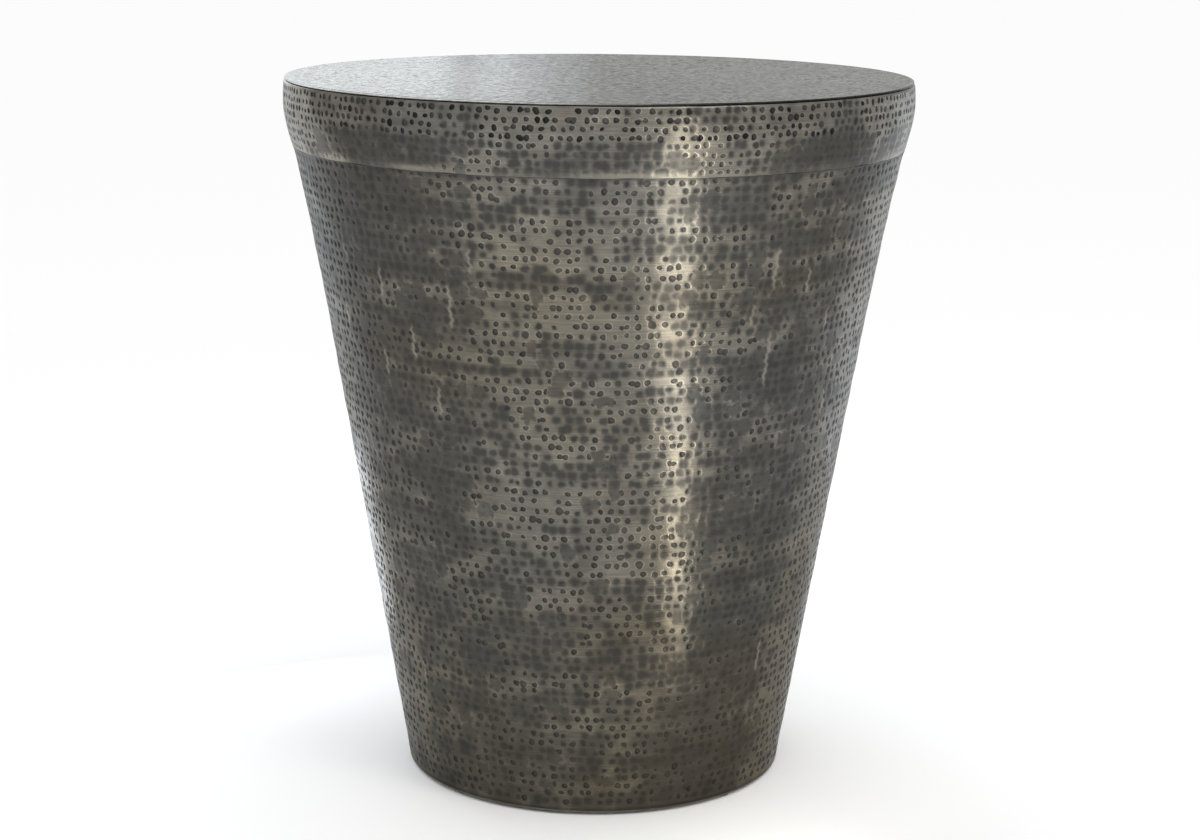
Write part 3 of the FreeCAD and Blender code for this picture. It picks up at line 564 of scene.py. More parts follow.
def mark_masks(f, place, wide_lines):
    """Masks that follow the hammer marks, each a value for how much of it lies at a point."""
    mark = f.attribute("mark")
    soft = f.attribute("soft")
    lower_left = f.attribute("lower_left")
    tone = f.attribute("tone")
    ragged = f.grain(place, 420, 2)
    blotch = f.grain(f.stretched(place, (1, 1, 1.6)), 75, 4, 0.62)
    gaps = f.grain(f.stretched(place, (1, 1, 0.7)), 120, 3, 0.6)

    reach = mark + (ragged - 0.5) * 0.55
    halo = 1 - f.smooth(reach, 0.7, 2.3)
    # A painted highlight on the lip just outside each mark, strongest on its upper right.
    painted_lip_light = f.smooth(reach, 0.9, 1.15) * (1 - f.smooth(reach, 1.25, 1.9))
    painted_lip_light = painted_lip_light * f.spread(lower_left, -1, 0.4, 1, 0.35)
    dark = f.attribute("patina") + (blotch - 0.5) * 1.1 + (wide_lines - 0.5) * 0.6
    dark = f.spread(dark + halo * 0.42 - painted_lip_light * 0.22, 0.22, 1.08)
    core = (1 - f.smooth(reach, 0.55, 1.35)) * (0.35 + tone * 0.65)
    # Painted shade: a dark crescent inside each mark, strongest on its lower left.
    rim = f.smooth(reach, 0.05, 0.50) * (1 - f.smooth(reach, 0.60, 1.20))
    rim = rim * f.spread(lower_left, -0.5, 0.75, 0.03, 1) * tone * (1 - soft * 0.6)
    closed = f.smooth(gaps, 0.60, 0.42) * f.smooth(f.attribute("smooth"), 0.3, 0.8)
    smear = 1 - (1 - soft) * (1 - closed * 0.4)
    smear = (smear + (blotch - 0.5) * 0.45 * smear).held()
    faint = (1 - f.smooth(f.attribute("centre") + (ragged - 0.5) * 0.4, 0.05, 1.15)) * soft
    return {"painted_lip_light": painted_lip_light, "dark": dark, "core": core, "rim": rim, "smear": smear, "faint": faint, "tone": tone}


def hammered_pewter():
    """Brushed grey pewter with a dark patina in the hammer marks and in clouds round them."""
    f = Finish("hammered_pewter", Metallic=1, Specular_Tint=(0.6, 0.6, 0.6, 1))
    place = f.place()
    height = f.split(place)[2]
    lines = f.grain(f.stretched(place, (26, 26, 1300)), 1, 5, 0.7)
    wide_lines = f.grain(f.stretched(place, (11, 11, 420)), 1, 3, 0.6)
    cloud = f.grain(place, 14, 3, 0.6)
    tint = f.grain(place, 5, 3, 0.6)
    speck = f.grain(place, 900, 2)
    masks = mark_masks(f, place, wide_lines)

    shade = f.spread(lines, 0.28, 0.72, 0.74, 1.22) * f.spread(wide_lines, 0.3, 0.7, 0.88, 1.10)
    shade = shade * f.spread(cloud, 0.3, 0.7, 0.86, 1.06) * (1 + masks["painted_lip_light"] * 0.7)
    # Painted shade: the bare metal darker toward the foot and lighter toward the head.
    shade = shade * f.spread(height, 0.16, 0.56, 0.91, 1.06)
    bare = f.shaded(f.mix(f.spread(tint, 0.35, 0.65), rgb(123, 121, 115), rgb(124, 118, 105)), shade)
    cover = f.mix(f.spread(tint, 0.45, 0.7, 0, 0.7), rgb(80, 79, 76), rgb(82, 77, 69))
    cover = f.mix(0.6, cover, f.mix(f.spread(wide_lines, 0.3, 0.7), rgb(222, 222, 222), WHITE), "MULTIPLY")
    soft_grey = f.mix(f.spread(tint, 0.4, 0.65), rgb(79, 79, 77), rgb(80, 76, 69))
    core_grey = f.mix(f.spread(masks["tone"], 0.9, 1.45), rgb(61, 61, 60), rgb(36, 36, 38))

    colour = f.mix(masks["dark"] * 0.92, bare, cover)
    colour = f.mix(masks["smear"] * 0.84, colour, soft_grey)
    colour = f.mix(masks["faint"] * 0.74, colour, core_grey)
    colour = f.mix(masks["core"] * 0.78, colour, core_grey)
    # The crescent of painted shade inside each mark.
    colour = f.mix(masks["rim"] * 0.95, colour, rgb(27, 27, 29))
    colour = f.shaded(colour, f.spread(lines, 0.28, 0.72, 0.90, 1.10))
    # Painted shade: darker over the foot's bend and in the crease under the top disc. The last factor
    # darkens where the patina is thickest.
    ends = f.spread(height, FOOT_UNDER + 0.0016, FOOT_UNDER + 0.0055, 0.45, 1)
    ends = ends * f.spread(height, DISC_UNDER - 0.0007, DISC_UNDER, 1, 0.50)
    colour = f.shaded(colour, ends * f.spread(f.attribute("patina"), 1.05, 1.60, 1, 0.80))
    warmth = f.mix(f.spread(height, 0.02, 0.33), rgb(255, 250, 239), WHITE)
    colour = f.mix(1, colour, warmth, "MULTIPLY")
    # Lighter along the wall's rubbed lines, and a painted highlight along the band's lower edge.
    colour = f.mix((f.attribute("brightened") * 0.95).held(), colour, rgb(142, 138, 127))
    colour = f.mix(f.attribute("weld") * 0.45, colour, rgb(104, 92, 74))
    rough = f.spread(lines, 0.25, 0.75, 0.17, 0.28) + f.spread(cloud, 0.3, 0.7, -0.02, 0.04)
    rough = rough + masks["dark"] * 0.07 + masks["core"] * f.spread(speck, 0.3, 0.7, 0.04, 0.14)
    normal = f.bump(lines * 0.5 + speck * 0.25 + wide_lines * 0.4, 0.00012, 0.55)
    return f.finished(colour, rough, normal)


def planished_top():
    """Bright top sheet: close planishing marks in rings, a little darker in their hollows."""
    f = Finish("planished_top", Metallic=1, Specular_Tint=(0.5, 0.5, 0.5, 1))
    place = f.place()
    across, _, height = f.split(place)
    mark = f.attribute("mark")
    rings = f.grain(round_the_axis(f, place, 16, 230), 1, 3, 0.6, 0.4)
    fine = f.grain(round_the_axis(f, place, 26, 700), 1, 3, 0.6)
    fibre = f.grain(f.stretched(place, (170, 270, 200)), 1, 3, 0.62) * 0.68 + rings * 0.32
    cloud = f.grain(place, 8, 3, 0.6)
    hollow = (1 - f.smooth(mark, 0.15, 1.1)) * f.attribute("tone")
    edge = f.smooth(mark, 0.75, 1.3)
    # Painted light and shade: the marks show stronger dark and light in a band left of the middle, at the
    # edge of the window's reflection.
    uneven = f.smooth(across, -0.14, -0.07) * (1 - f.smooth(across, -0.03, 0.06))

    colour = f.mix(f.spread(cloud, 0.35, 0.65), rgb(126, 126, 119), rgb(124, 124, 113))
    colour = f.mix(hollow * 0.9, colour, rgb(74, 76, 76))
    colour = f.mix(edge * 0.45, colour, rgb(152, 154, 151))
    colour = f.mix(f.spread(fibre, 0.50, 0.60) * (uneven * 0.55 + 0.36), colour, rgb(66, 67, 66))
    colour = f.mix(f.spread(fibre, 0.49, 0.40) * (uneven * 0.20 + 0.34), colour, rgb(172, 174, 171))
    # The disc's bevel: a painted highlight on the left and painted shade on the right.
    painted_lip_light = f.mix(f.spread(across, -0.08, 0.05), rgb(225, 226, 223), rgb(60, 60, 60))
    colour = f.mix(f.smooth(height, DISC_TOP - 0.0005, DISC_TOP - 0.0003), painted_lip_light, colour)
    # The disc's side face: painted shade in the crease under the top.
    colour = f.mix(f.smooth(height, DISC_TOP - 0.0015, DISC_TOP - 0.0011), rgb(38, 38, 38), colour)
    rough = f.spread(fine, 0.3, 0.7, 0.14, 0.24) + edge * 0.03
    face = f.smooth(height, DISC_TOP - 0.0013, DISC_TOP - 0.0007)
    normal = f.bump((fibre * 0.8 + fine * 0.35) * face, 0.0009, 0.8)
    return f.finished(colour, rough, normal)


def raw_sheet():
    """The inside of the drum: dull sheet with the backs of the marks, drawing soap and dark tide lines."""
    f = Finish("raw_sheet_inside", Metallic=0.9)
    place = f.place()
    pimple = f.cells(f.stretched(place, (1, 1, 1.1)), 118)
    cloud = f.grain(place, 9, 5, 0.65)
    streak = f.grain(f.stretched(place, (40, 40, 7)), 1, 4, 0.6)
    fine = f.grain(place, 700, 2)
    colour = f.mix(f.spread(cloud, 0.35, 0.65), rgb(112, 108, 100), rgb(84, 80, 74))
    colour = f.mix(f.spread(streak, 0.5, 0.8, 0, 0.5), colour, rgb(120, 98, 72))
    colour = f.mix(f.spread(pimple, 0, 0.35, 0.35, 0), colour, rgb(150, 147, 140))
    rough = f.spread(cloud, 0.3, 0.7, 0.42, 0.62)
    normal = f.bump(1 - f.smooth(pimple, 0, 0.5), 0.0005, 0.8)
    normal = f.bump(fine, 0.0001, 0.4, normal)
    return f.finished(colour, rough, normal)


def weld_bead():
    """Grey weld metal with a heat tint and fine ripples."""
    f = Finish("weld_bead", Metallic=0.85)
    place = f.place()
    heat = f.grain(place, 60, 3, 0.6)
    pits = f.grain(place, 900, 3, 0.7)
    ripple = f.grain(f.stretched(place, (1, 1, 3)), 520, 2)
    colour = f.mix(f.spread(heat, 0.4, 0.65), rgb(104, 102, 100), rgb(112, 88, 64))
    colour = f.mix(f.spread(heat, 0.62, 0.8), colour, rgb(70, 76, 98))
    colour = f.mix(f.spread(pits, 0.6, 0.8, 0, 0.7), colour, rgb(44, 42, 40))
    rough = f.spread(pits, 0.3, 0.7, 0.40, 0.68)
    normal = f.bump(ripple * 0.7 + pits * 0.4, 0.0004, 0.8)
    return f.finished(colour, rough, normal)


def black_bar():
    """Mill-black steel bar: dark scale rubbed to grey here and there, a breath of rust."""
    f = Finish("black_bar", Metallic=0.7)
    place = f.place()
    scale = f.grain(place, 34, 5, 0.65)
    rubbed = f.grain(f.stretched(place, (14, 14, 90)), 1, 4, 0.6)
    rust = f.grain(place, 22, 6, 0.7, 0.6)
    pits = f.grain(place, 800, 3, 0.7)
    colour = f.mix(f.spread(scale, 0.35, 0.65), rgb(48, 48, 50), rgb(68, 67, 66))
    colour = f.mix(f.spread(rubbed, 0.56, 0.74, 0, 0.8), colour, rgb(120, 118, 114))
    colour = f.mix(f.spread(rust, 0.60, 0.78, 0, 0.7), colour, rgb(112, 70, 42))
    rough = f.spread(scale, 0.3, 0.7, 0.42, 0.66) + f.spread(rust, 0.6, 0.8, 0, 0.2)
    normal = f.bump(scale * 0.6 + pits * 0.5, 0.00018, 0.7)
    return f.finished(colour, rough, normal)


def fibre_board():
    """Pressed wood fibre board under the top sheet: brown felted fibre."""
    f = Finish("fibre_board", Metallic=0, Specular_IOR_Level=0.25)
    place = f.place()
    felt = f.grain(place, 260, 5, 0.7, 1.2)
    hair = f.grain(f.stretched(place, (1, 5, 5)), 190, 4, 0.7, 0.8)
    cross_hair = f.grain(f.stretched(place, (5, 1, 5)), 190, 4, 0.7, 0.8)
    cloud = f.grain(place, 11, 4, 0.6)
    colour = f.mix(f.spread(cloud, 0.35, 0.65), rgb(150, 118, 82), rgb(134, 102, 70))
    colour = f.mix(f.spread(felt, 0.5, 0.75, 0, 0.7), colour, rgb(104, 76, 50))
    colour = f.mix(f.spread(hair, 0.56, 0.72, 0, 0.6), colour, rgb(176, 146, 106))
    colour = f.mix(f.spread(cross_hair, 0.58, 0.74, 0, 0.5), colour, rgb(90, 64, 42))
    rough = f.spread(felt, 0.3, 0.7, 0.72, 0.92)
    normal = f.bump(felt * 0.5 + hair * 0.5 + cross_hair * 0.4, 0.0002, 0.7)
    return f.finished(colour, rough, normal)


def black_nylon():
    """Moulded nylon glides: near black, a soft sheen, scuffed where they meet the floor."""
    f = Finish("black_nylon", Metallic=0)
    place = f.place()
    height = f.split(place)[2]
    orange_peel = f.grain(place, 1400, 2)
    scuff = f.grain(f.stretched(place, (90, 900, 90)), 1, 4, 0.7)
    low = 1 - f.smooth(height, 0.0003, 0.0016)
    wear = (low * f.spread(scuff, 0.4, 0.65)).held()
    colour = f.mix(f.spread(orange_peel, 0.3, 0.7), rgb(30, 30, 31), rgb(38, 38, 39))
    colour = f.mix(wear, colour, rgb(96, 94, 90))
    rough = f.spread(orange_peel, 0.3, 0.7, 0.36, 0.48) + wear * 0.25
    normal = f.bump(orange_peel + scuff * low, 0.00006, 0.6)
    return f.finished(colour, rough, normal)


# ---- modelling by hand

def start_clean():
    bpy.ops.object.select_all(action="DESELECT")


def take(piece):
    """Selects one piece alone and makes it the active one."""
    start_clean()
    bpy.context.view_layer.objects.active = piece
    piece.select_set(True)


def extrude_rings(start, stations):
    """In edit mode: pulls the selected ring out to each next ring (radius, height)."""
    radius, height = start
    for next_radius, next_height in stations:
        bpy.ops.mesh.extrude_region_move(TRANSFORM_OT_translate={"value": (0, 0, next_height - height)})
        scale = next_radius / radius
        bpy.ops.transform.resize(value=(scale, scale, 1), center_override=(0, 0, next_height))
        radius, height = next_radius, next_height


def ring_stack(name, stations, columns):
    """A tube of rings, from a circle that is extruded up and resized to each next ring."""
    start_clean()
    radius, height = stations[0]
    bpy.ops.mesh.primitive_circle_add(vertices=columns, radius=radius, location=(0, 0, height))
    tube = bpy.context.object
    tube.name = name
    tube.data.name = name
    bpy.ops.object.mode_set(mode="EDIT")
    bpy.ops.mesh.select_all(action="SELECT")
    extrude_rings(stations[0], stations[1:])
    bpy.ops.object.mode_set(mode="OBJECT")
    return tube


def edit(piece, operator, **options):
    """Runs an edit-mode operator on all of a piece."""
    take(piece)
    bpy.ops.object.mode_set(mode="EDIT")
    bpy.ops.mesh.select_all(action="SELECT")
    operator(**options)
    bpy.ops.object.mode_set(mode="OBJECT")


def settle(piece):
    """Puts the piece's place into its mesh, so that its object sits at the origin."""
    take(piece)
    bpy.ops.object.transform_apply(location=True, rotation=True, scale=True)


def divide(piece, *parts):
    """Divides each edge of a piece into so many parts, once for each number, and settles the piece."""
    for number in parts:
        edit(piece, bpy.ops.mesh.subdivide, number_cuts=number - 1)
    settle(piece)


def smooth_out(piece, degrees=None):
    """Turns the faces outward and shades them smooth, all over or up to an angle between them."""
    edit(piece, bpy.ops.mesh.normals_make_consistent, inside=False)
    if degrees is None:
        bpy.ops.object.shade_smooth()
    else:
        bpy.ops.object.shade_smooth_by_angle(angle=math.radians(degrees))


def corners(piece):
    found = np.empty(len(piece.data.vertices) * 3)
    piece.data.vertices.foreach_get("co", found)
    return found.reshape(-1, 3)


def move_corners(piece, x, y, z):
    piece.data.vertices.foreach_set("co", np.stack([x, y, z], 1).ravel())
    piece.data.update()


def mark_corners(piece, name, values):
    """Gives each corner a value that the finish reads by name."""
    layer = piece.data.attributes.new(name, "FLOAT", "POINT")
    layer.data.foreach_set("value", values.astype(np.float32))


def dress(piece, material, node):
    """Gives a finished piece its material, puts it under the root body, and hides the node that it stands
    for.
    """
    piece.data.materials.clear()
    piece.data.materials.append(material)
    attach(piece, "root")
    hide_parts(node)


# ---- hammered skins

def skin_grid(name, outline, share_from, share_to, rings):
    """A smooth course of skin, divided finely, with each corner's share of the outline and its turn."""
    radii, heights, _ = outline(np.linspace(share_from, share_to, rings + 1))
    skin = ring_stack(name, list(zip(radii.tolist(), heights.tolist())), COARSE_COLUMNS)
    divide(skin, DIVIDE)
    co = corners(skin)
    column = np.round(np.arctan2(co[:, 1], co[:, 0]) / (2 * math.pi) * COLUMNS)
    row = np.round(np.interp(co[:, 2], heights, np.arange(rings + 1)) * DIVIDE)
    share = share_from + (share_to - share_from) * row / (rings * DIVIDE)
    return skin, share, column / COLUMNS * 2 * math.pi


def square_out(outline, share):
    """The direction square to the outline at each share, as its outward and upward parts."""
    beyond, above, _ = outline(share + 0.0005)
    before, below, _ = outline(share - 0.0005)
    slope = np.hypot(beyond - before, above - below)
    return (above - below) / slope, (before - beyond) / slope


def beat(run, turn, radius, marks, broad):
    """Small marks with broad dents thrown over them: these flatten them and brighten at their border."""
    swerve_up = beaten_wave(run, turn, seed=71, finer=4) - 0.5
    swerve_side = (beaten_wave(run, turn, seed=72, finer=4) - 0.5) / radius
    beaten = marks.press(run + 0.0012 * swerve_up, turn + 0.0012 * swerve_side, radius)
    wide = broad.press(run + 0.0040 * swerve_up, turn + 0.0040 * swerve_side, radius)
    flat = 1 - fade(wide["centre"], 0.60, 1.25)
    border = fade(wide["centre"], 0.90, 1.20) * (1 - fade(wide["centre"], 1.30, 1.80))
    smeared = 1 - (1 - beaten["soft"]) * (1 - (0.50 + 0.45 * wide["tone"]) * flat)
    beaten["deep"] = beaten["deep"] * (1 - 0.8 * flat) + 0.00018 * flat
    beaten["mark"] += 1.8 * flat
    beaten["centre"] += 0.35 * flat
    beaten["soft"] = smeared * (1 - 0.5 * border)
    beaten["patina"] += 0.2 * flat - 0.2 * border
    return beaten


def hammered_skin(name, outline, share_from, share_to, rings, marks, broad, calm, edge):
    """One course of skin, beaten all over, except where calm says that the hammer stayed away."""
    skin, share, turn = skin_grid(name, outline, share_from, share_to, rings)
    radius, height, run = outline(share)
    outward, upward = square_out(outline, share)
    beaten = beat(run, turn, radius, marks, broad)
    from_weld = radius * np.abs(wrapped(turn - BACK))
    keep = calm(run, from_weld)
    roll, darker = edge(run, turn)
    deep = beaten.pop("deep") * keep + SKIN_INSET + roll
    deep = deep + 0.0005 * keep * beaten_wave(run, turn, seed=51)
    radius = radius - deep * outward
    move_corners(skin, radius * np.cos(turn), radius * np.sin(turn), height - deep * upward)
    # darker is positive for patina and painted shade, negative for rubbed lines and for a painted highlight;
    # the negative part is kept below for the finish.
    beaten["patina"] += darker
    beaten["soft"] = np.clip(beaten["soft"] + np.where(darker < 0, 1.5, 0.6) * darker, 0, 1)
    beaten["mark"] = np.where(keep < 0.5, np.maximum(beaten["mark"], 2.2), beaten["mark"])
    beaten["mark"] = np.minimum(beaten["mark"], FAR)
    # Rubbed lines on the wall, and the painted highlight on the band's lower edge.
    beaten["brightened"] = np.clip(-darker, 0, 1)
    beaten["weld"] = np.exp(-(from_weld / 0.0022) ** 2)
    for what, values in beaten.items():
        mark_corners(skin, what, values)
    smooth_out(skin)
    return skin


def build_wall(material):
    marks = wall_marks()
    places = np.arange(0.010, WALL_RUN, BROAD_ROWS)
    broad = broad_marks(places, wall_radius(FOOT_START + places * math.cos(WALL_LEAN)), 0.0, 43)

    def calm(run, from_weld):
        ends = fade(run, 0.0016, 0.0040) * (1 - fade(run, WALL_RUN - 0.0022, WALL_RUN))
        return ends * fade(from_weld, 0.0012, 0.004)

    def edge(run, turn):
        close = fade(run, WALL_RUN - 0.0040, WALL_RUN)
        roll = 0.00005 + 0.0006 * seam_wave(turn)
        # Darker at the top of the wall, under the band's lap: patina in the joint and painted shade.
        return roll * close, 0.45 * close - 0.55 * worn_lines(run, turn)

    for number in range(WALL_COURSES):
        low, high = number / WALL_COURSES, (number + 1) / WALL_COURSES
        skin = hammered_skin(f"hammered_wall_{number + 1}", wall_outline, low, high, COURSE_RINGS,
                             marks, broad, calm, edge)
        dress(skin, material, "tapered_wall")


def build_band(material):
    marks = band_marks()
    places = np.array([0.0085, 0.0190])
    broad = broad_marks(places, np.full(len(places), BAND_MIDDLE), WALL_END, 47)

    def calm(run, _):
        return fade(run, 0.0006, 0.0030) * (1 - fade(run, BAND_RUN - 0.0040, BAND_RUN - 0.0028))

    def edge(run, turn):
        # A painted highlight along the band's lower edge, strong at the listed turns; it is given back as
        # negative darkening.
        rubbed = np.full(len(turn), 0.15)
        for degrees, width in SEAM_GLINTS:
            away = wrapped(turn - FRONT - math.radians(degrees))
            rubbed += 0.85 * np.exp(-(away / math.radians(width)) ** 2)
        roll = (0.0001 + 0.0005 * seam_wave(turn)) * (1 - fade(run, 0, 0.0034))
        return roll, -0.7 * rubbed * np.exp(-((run - 0.0022) / 0.0026) ** 2)

    skin = hammered_skin("hammered_shoulder", band_outline, 0.0, 1.0, BAND_RINGS, marks, broad, calm, edge)
    dress(skin, material, "shoulder_band")


# ---- inner sheets, weld and top

def inner_sheet(name, stations, material, node):
    """A turned sheet whose outline is given ring by ring, with outward faces."""
    sheet = ring_stack(name, stations, INNER_COLUMNS)
    edit(sheet, bpy.ops.mesh.remove_doubles, threshold=0.000001)
    settle(sheet)
    smooth_out(sheet, 35)
    dress(sheet, material, node)


def arc(centre, radius, turns):
    """Points on an arc round a centre (radius, height), at turns in degrees up from level."""
    angles = [math.radians(turn) for turn in turns]
    return [step(centre, radius * math.cos(angle), radius * math.sin(angle)) for angle in angles]


def build_wall_inside(material):
    """The rest of the wall's sheet: joggle and lap at its head, inner face, and the flange of its foot."""
    into, over = math.cos(BAND_LEAN), math.sin(BAND_LEAN)
    depth = SHEET + LAP_GAP
    lap_foot = step(BAND_START, -depth * into, depth * over)
    lap_head = step(lap_foot, LAP_LENGTH * over, LAP_LENGTH * into)
    outline = [(float(wall_radius(WALL_END)) - 0.0005, WALL_END), lap_foot, lap_head]
    outline += [step(corner, -SHEET * into, SHEET * over) for corner in (lap_head, lap_foot)]
    heights = np.concatenate([np.linspace(WALL_END, BROW_START[1], 6), np.linspace(0.49, 0.02, 24)])
    across = SHEET / math.cos(WALL_LEAN)
    outline += [(float(wall_radius(height)) - across, float(height)) for height in heights]
    foot_top = FOOT_UNDER + SHEET
    outline += [(float(wall_radius(foot_top + 0.0030)) - 0.0014, foot_top + 0.0030)]
    outline += [step(FOOT_BEND_CENTRE, 0.00085, -0.0002), (FOOT_BEND_CENTRE[0] - 0.0001, foot_top)]
    outline += [(FLANGE_INNER, foot_top), (FLANGE_INNER, FOOT_UNDER), (FOOT_BEND_CENTRE[0], FOOT_UNDER)]
    outline += arc(FOOT_BEND_CENTRE, FOOT_BEND, np.linspace(-80, -math.degrees(WALL_LEAN), 7))
    inner_sheet("wall_sheet_inside", outline, material, "tapered_wall")


def build_band_inside(material):
    """The rest of the band's sheet: its lower edge, inner face, and the ledge that carries the top."""
    outline = [BAND_START, step(BAND_START, -SHEET * math.cos(BAND_LEAN), SHEET * math.sin(BAND_LEAN))]
    outline += arc(BULGE_CENTRE, BULGE_RADIUS - SHEET, np.linspace(-math.degrees(BAND_LEAN), 5, 9))
    outline += [step(RIM_CENTRE, 0.001385, 0.0007), (RIM_CENTRE[0], LEDGE_UNDER)]
    outline += [(LEDGE_INNER, LEDGE_UNDER), (LEDGE_INNER, DISC_UNDER), (RIM_CENTRE[0], DISC_UNDER)]
    inner_sheet("shoulder_sheet_inside", outline, material, "shoulder_band")


def build_butt_weld(material):
    """The bead inside the drum, where the two ends of the wall meet at the back."""
    start_clean()
    low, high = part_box("wall_butt_weld")
    bpy.ops.mesh.primitive_plane_add(size=1, location=(0, 0.2, 0.25))
    bead = bpy.context.object
    bead.name = "butt_weld_bead"
    divide(bead, 10, 10)
    co = corners(bead)
    across = co[:, 0] - co[:, 0].min()
    along = co[:, 1] - co[:, 1].min()
    side = np.round(across / across.max() * 100) / 100 * 2 - 1
    height = low.z + 0.004 + along / along.max() * (high.z - low.z - 0.016)
    crown = np.sqrt(np.clip(1 - side ** 2, 0, 1))
    ripple = 0.00012 * np.sin(height / 0.0021 * 2 * math.pi + side ** 2 * 2.5)
    wander = 0.0003 * np.sin(height * 61) + 0.0002 * np.sin(height * 173 + 1)
    inner_face = wall_radius(height) - SHEET / math.cos(WALL_LEAN)
    move_corners(bead, side * 0.0021 + wander, inner_face - (0.0006 + ripple) * crown + 0.0001, height)
    smooth_out(bead)
    dress(bead, material, "wall_butt_weld")


def fan_to_rings(co, rings):
    """The ring number and the turn of each corner of a finely divided hexagon fan."""
    first, sixth = math.pi / 2, math.pi / 3
    corner = first + np.floor((np.arctan2(co[:, 1], co[:, 0]) - first) / sixth + 1e-6) * sixth
    a_x, a_y = np.cos(corner), np.sin(corner)
    b_x, b_y = np.cos(corner + sixth), np.sin(corner + sixth)
    cross = a_x * b_y - a_y * b_x
    a_part = (co[:, 0] * b_y - co[:, 1] * b_x) / cross
    b_part = (a_x * co[:, 1] - a_y * co[:, 0]) / cross
    ring = np.round((a_part + b_part) * rings)
    along = np.where(ring > 0, b_part / np.maximum(a_part + b_part, 1e-9), 0)
    return ring, corner + along * sixth


def build_top(material):
    """The top sheet: a hexagon fan divided finely, rounded into rings, and planished ring by ring."""
    start_clean()
    bpy.ops.mesh.primitive_circle_add(vertices=6, radius=1, fill_type="TRIFAN", location=(0, 0, 0))
    top = bpy.context.object
    top.name = "planished_top_sheet"
    top.data.name = "planished_top_sheet"
    divide(top, TOP_PARTS, TOP_PARTS)
    ring, turn = fan_to_rings(corners(top), TOP_RINGS)
    radius = ring / TOP_RINGS * DISC_FLAT
    beaten = top_marks().press(radius, turn, np.maximum(radius, 0.002))
    deep = beaten["deep"] * (1 - fade(radius, DISC_FLAT - 0.0022, DISC_FLAT - 0.0005))
    move_corners(top, radius * np.cos(turn), radius * np.sin(turn), DISC_TOP - deep)
    mark_corners(top, "mark", beaten["mark"])
    mark_corners(top, "tone", beaten["tone"])
    bpy.ops.object.mode_set(mode="EDIT")
    bpy.ops.mesh.select_mode(type="EDGE")
    bpy.ops.mesh.select_all(action="DESELECT")
    bpy.ops.mesh.select_non_manifold(extend=False)
    side = [(DISC_RADIUS, DISC_TOP - DISC_BEVEL), (DISC_RADIUS, DISC_UNDER)]
    extrude_rings((DISC_FLAT, DISC_TOP), side + [(LEDGE_INNER - 0.004, DISC_UNDER)])
    bpy.ops.mesh.edge_face_add()
    bpy.ops.mesh.select_mode(type="VERT")
    bpy.ops.object.mode_set(mode="OBJECT")
    smooth_out(top, 40)
    dress(top, material, "top_disc")


# ---- build the drum

pewter = hammered_pewter()
inside = raw_sheet()
welds = weld_bead()
build_wall(pewter)
build_band(pewter)
build_wall_inside(inside)
build_band_inside(inside)
build_butt_weld(welds)
build_top(planished_top())

kept = {
    "weld_metal": (welds, ["shoulder_stitch_welds", "top_tack_welds", "bar_end_welds",
                           "bar_cross_welds", "hoop_tack_welds"]),
    "black_bar": (black_bar(), ["cross_bar_side_to_side", "cross_bar_front_to_back", "foot_hoop"]),
    "board": (fibre_board(), ["top_board"]),
    "nylon": (black_nylon(), ["foot_glide_1", "foot_glide_2", "foot_glide_3", "foot_glide_4"]),
}
for slot, (material, names) in kept.items():
    for name in names:
        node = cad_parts[name]
        node.data.materials.clear()
        node.data.materials.append(material)


# ---- floor, world, lamps, camera

WARM = (1.0, 0.93, 0.80)
WARM_PALE = (1.0, 0.93, 0.82)
DAYLIGHT = (0.90, 0.95, 1.0)
CURTAIN = (0.88, 0.94, 1.0)
BLUE_SHADE = (0.82, 0.90, 1.0)
BLUE_SHEEN = (0.80, 0.88, 1.0)
SUNLIT = (1.0, 0.98, 0.95)
TILT = 0.20                   # roll of the strips, which follow the drum's outline

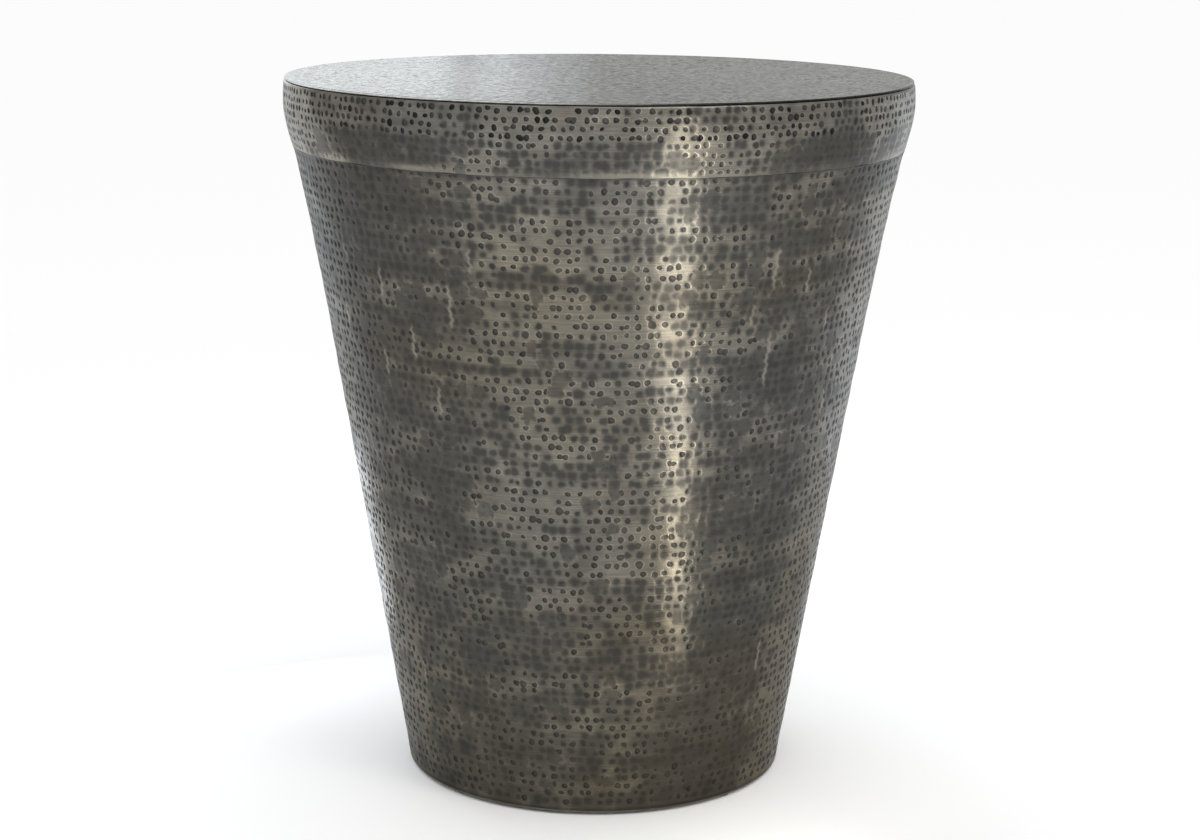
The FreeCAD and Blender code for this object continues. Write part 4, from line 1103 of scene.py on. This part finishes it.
# Name, place, point aimed at, width and height, power, colour, roll.
SOFTBOXES = (
    ("tall_strip", (0.168, -0.355, 0.29), (0.015, -0.122, 0.344), (0.022, 0.56), 0.195, WARM, TILT),
    ("low_strip", (0.178, -0.300, 0.11), (0.026, -0.067, 0.164), (0.022, 0.20), 0.035, WARM, TILT),
    ("upper_glow", (0.130, -0.372, 0.36), (-0.030, -0.122, 0.414), (0.034, 0.26), 0.058, WARM_PALE, TILT),
    ("cool_window", (-0.68, 1.2, 0.98), (-0.2, 0, 0.6), (1.1, 0.8), 4.0, DAYLIGHT, 0),
    ("window_curtain_1", (-0.142, 1.2, 0.98), (-0.142, 0, 0.6), (0.045, 0.8), 0.125, CURTAIN, 0),
    ("window_curtain_2", (-0.097, 1.2, 0.98), (-0.097, 0, 0.6), (0.045, 0.8), 0.080, CURTAIN, 0),
    ("window_curtain_3", (-0.047, 1.2, 0.98), (-0.047, 0, 0.6), (0.055, 0.8), 0.045, CURTAIN, 0),
    ("left_panel", (-0.74, 0.50, 0.30), (-0.1, 0.02, 0.30), (0.5, 0.58), 0.8, BLUE_SHADE, 0),
    ("left_sheen", (-0.33, 0.225, 0.100), (-0.19, -0.05, 0.155), (0.14, 0.17), 0.165, BLUE_SHEEN, 0),
    ("right_panel", (0.74, 0.50, 0.30), (0.1, 0.02, 0.30), (0.5, 0.58), 0.9, BLUE_SHADE, 0),
    ("high_softbox", (1.3, -1.5, 2.1), (0, 0, 0.35), (1.2, 1.2), 12, SUNLIT, 0),
)

CAMERA_PLACE = (0, -2.0337, 0.7293)
CAMERA_DOWN = math.radians(12.222)
CAMERA_ROLL = math.radians(0.515)
CAMERA_LENS = 75.2            # millimetres, on a sensor 36 mm wide
CAMERA_SHIFT = (0.00317, -0.00092)


def pale_floor():
    start_clean()
    bpy.ops.mesh.primitive_plane_add(size=60, location=(0, 0, 0))
    floor = bpy.context.object
    floor.name = "studio_floor"
    f = Finish("pale_floor", Roughness=0.9, Specular_IOR_Level=0.0, Base_Color=(0.97, 0.97, 0.97, 1))
    floor.data.materials.append(f.material)


def white_world():
    world = bpy.data.worlds.new("studio")
    world.use_nodes = True
    bpy.context.scene.world = world
    background = world.node_tree.nodes["Background"]
    background.inputs["Color"].default_value = (1, 1, 1, 1)
    background.inputs["Strength"].default_value = 1.0


def softbox(name, place, aim, size, power, colour, roll):
    light = bpy.data.lights.new(name, "AREA")
    light.shape = "RECTANGLE"
    light.size, light.size_y = size
    light.energy = power
    light.color = colour
    lamp = bpy.data.objects.new(name, light)
    bpy.context.scene.collection.objects.link(lamp)
    lamp.location = place
    lamp.visible_camera = False
    turned = (Vector(aim) - Vector(place)).to_track_quat("-Z", "Y").to_matrix()
    lamp.rotation_euler = (turned @ Matrix.Rotation(roll, 3, "Z")).to_euler()


def camera():
    data = bpy.data.cameras.new("camera")
    data.sensor_width = 36
    data.lens = CAMERA_LENS
    data.shift_x, data.shift_y = CAMERA_SHIFT
    data.clip_start, data.clip_end = 0.05, 100
    seat = bpy.data.objects.new("camera", data)
    bpy.context.scene.collection.objects.link(seat)
    pitch = Matrix.Rotation(math.pi / 2 - CAMERA_DOWN, 4, "X")
    roll = Matrix.Rotation(CAMERA_ROLL, 4, "Z")
    seat.matrix_world = Matrix.Translation(CAMERA_PLACE) @ pitch @ roll
    bpy.context.scene.camera = seat


pale_floor()
white_world()
for lamp in SOFTBOXES:
    softbox(*lamp)
camera()
bpy.context.scene.view_settings.view_transform = "Standard"
